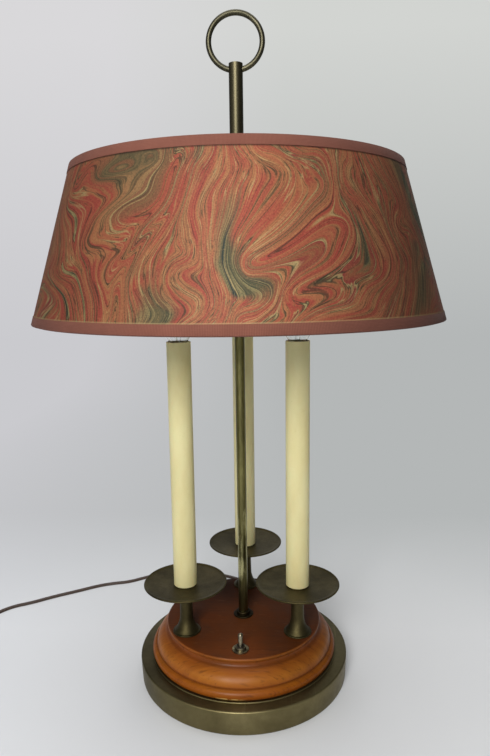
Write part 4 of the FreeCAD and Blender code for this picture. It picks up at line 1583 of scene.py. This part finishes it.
@dataclass
class Lift:
    """The tube that slides on the rod, with its ring, clamp and shade seat.

    Attributes:
        shop: The workshop.
        ring_r: The ring's radius to the middle of its wire, in millimetres.
        wire_r: The radius of its wire.
        ring_z: The height of its middle.
        gap: The step that keeps the section's end off its start.
    """

    shop: Workshop
    ring_r: float = 24.0
    wire_r: float = 2.5
    ring_z: float = 605.1
    gap: float = 1e-3

    def ring(self) -> None:
        """The lifting ring, standing across the view."""
        outer = self.ring_r + self.wire_r
        outline = Outline(outer, 0.0)
        outline.arc((self.ring_r, self.wire_r), (self.ring_r - self.wire_r, 0.0), 8)
        outline.arc((self.ring_r, -self.wire_r), (outer - self.gap, -self.gap), 8)
        place = Matrix.Translation((0.0, 0.0, self.ring_z * MM)) @ Matrix.Rotation(math.pi / 2, 4, "X")
        self.shop.piece("round_ring", moved(outline.spun(96), place), "ring_brass", Body.LIFT, "ring_brass",
                        "lifting_ring", sharp=60.0)

    def build(self) -> None:
        """Makes and dresses the lift."""
        self.ring()
        self.shop.dress("tube_brass", "upper_tube")
        self.shop.dress("fitting_brass", "tube_cap", "clamp_collar", "shade_shoulder", "shade_nut",
                        "thumb_screw")


# The shade


@dataclass
class Shade:
    """The paper cone, its rim tapes and wires, and the spider.

    Attributes:
        shop: The workshop.
        low_z: The height of the lower rim, in millimetres.
        rise: The height of the wall.
        low_r: The radius at the lower rim.
        high_r: The radius at the upper rim.
        paper: The paper's thickness.
        tape: The tape's thickness.
        wire_r: The radius of the rim wires.
        tape_outside: How far a tape reaches over the outside.
        tape_inside: How far it reaches inside.
        sides: Steps of the full turn.
        slant: The length of the wall along its slope.
    """

    shop: Workshop
    low_z: float = 360.0
    rise: float = 134.0
    low_r: float = 187.0
    high_r: float = 148.3
    paper: float = 1.0
    tape: float = 0.4
    wire_r: float = 1.2
    tape_outside: float = 7.5
    tape_inside: float = 6.5
    sides: int = 192
    slant: float = field(init=False)

    def __post_init__(self) -> None:
        """Works out the length of the wall along its slope."""
        self.slant = math.hypot(self.low_r - self.high_r, self.rise)

    def on_cone(self, share: float, out: float) -> tuple[float, float]:
        """A point of the wall.

        Args:
            share: How far up the slope, from 0 to 1.
            out: How far out from the paper's middle, in millimetres.

        Returns:
            Its radius and height, in millimetres.
        """
        across = self.rise / self.slant
        down = (self.low_r - self.high_r) / self.slant
        return (self.low_r + (self.high_r - self.low_r) * share + across * out,
                self.low_z + self.rise * share + down * out)

    def unrolled(self, mesh: bmesh.types.BMesh, place: Callable[[float, Vector], Point]) -> None:
        """Lays a turned mesh out flat in a UV map, with its seam at the back.

        Args:
            mesh: The mesh.
            place: Gives a corner's place on the map, in metres, from its angle and its point.
        """
        layer = mesh.loops.layers.uv.new("UVMap")
        for face in mesh.faces:
            centre = face.calc_center_median()
            about = math.atan2(centre.x, -centre.y)
            for loop in face.loops:
                point = loop.vert.co
                angle = math.atan2(point.x, -point.y)
                loop[layer].uv = place(angle + math.tau * round((about - angle) / math.tau), point)

    def on_sheet(self, angle: float, point: Vector) -> Point:
        """Where a point of the cone lies on the flat sheet, with the cone's own point at zero.

        Args:
            angle: Its angle about Z, in radians.
            point: The point, in metres.

        Returns:
            Its place on the sheet, in metres.
        """
        narrowing = (self.low_r - self.high_r) / self.slant
        apex_z = self.low_z + self.rise * self.low_r / (self.low_r - self.high_r)
        reach = math.hypot(math.hypot(point.x, point.y), apex_z * MM - point.z)
        return reach * math.sin(angle * narrowing), -reach * math.cos(angle * narrowing)

    def on_tape(self, angle: float, point: Vector) -> Point:
        """Where a point lies along and across a rim tape, from its angle and the point."""
        return angle * self.low_r * MM, point.z + math.hypot(point.x, point.y) * 0.3

    def cone(self) -> None:
        """The marbled paper, plain inside."""
        half = self.paper / 2
        steps = 12
        outline = Outline(*self.on_cone(0.0, half))
        outline.line(*(self.on_cone(k / steps, half) for k in range(1, steps + 1)))
        outline.line(*(self.on_cone(1 - k / steps, -half) for k in range(steps + 1)))
        mesh = outline.spun(self.sides)
        self.unrolled(mesh, self.on_sheet)
        for face in mesh.faces:
            centre = face.calc_center_median()
            if face.normal.dot(Vector((centre.x, centre.y, 0.0))) < 0:
                face.material_index = 1
        self.shop.piece("paper_cone", mesh, "marbled_paper", Body.SHADE, "marbled_paper", "shade_paper",
                        extra=("paper_inside",))

    def rim(self, name: str, upper: bool, node: str) -> None:
        """A tape folded over a rim.

        Args:
            name: The piece's name.
            upper: Whether it is the upper rim's.
            node: The node it stands for.
        """
        end = 1.0 if upper else 0.0
        way = -1.0 if upper else 1.0
        outer = self.paper / 2 + self.tape
        inner = -self.paper / 2 - 2 * self.wire_r - self.tape
        outside = end + way * self.tape_outside / self.slant
        inside = end + way * self.tape_inside / self.slant
        beyond = end - way * self.tape / self.slant
        outline = Outline(*self.on_cone(outside, self.paper / 2))
        outline.line(self.on_cone(outside, outer - 0.08), self.on_cone(outside - way * 0.002, outer))
        outline.line(self.on_cone(end, outer))
        outline.line(self.on_cone(beyond, outer - self.tape), self.on_cone(beyond, inner + self.tape))
        outline.line(self.on_cone(end, inner), self.on_cone(inside, inner))
        outline.line(*(self.on_cone(share, inner + self.tape) for share in (inside, end)))
        outline.line(self.on_cone(end, self.paper / 2))
        mesh = outline.spun(self.sides)
        self.unrolled(mesh, self.on_tape)
        self.shop.piece(name, mesh, "rim_tape", Body.SHADE, "rim_tape", node, sharp=70.0)

    def build(self) -> None:
        """Makes and dresses the shade."""
        self.cone()
        self.rim("lower_rim_tape", False, "bottom_tape")
        self.rim("upper_rim_tape", True, "top_tape")
        self.shop.dress("shade_wire", "top_wire", "bottom_wire")
        self.shop.dress("fitting_brass", "shade_hub", "spider_arms")


def main() -> None:
    """Builds the lamp around its frame, sub-assembly by sub-assembly."""
    logging.basicConfig(level=logging.INFO, format="%(name)s %(message)s")
    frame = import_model()
    foot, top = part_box("wood_plinth")
    shop = Workshop(frame, Finishes(foot.z, top.z))
    Studio().build()
    MainsCord(shop).build()
    Base(shop).build()
    Column(shop).build()
    for name, angle in (("back", 90.0), ("left", 210.0), ("right", 330.0)):
        Candle(shop, name, angle).build()
    shop.dress("fitting_brass", "sleeve_seats")
    Lift(shop).build()
    Shade(shop).build()


if __name__ == "__main__":
    main()
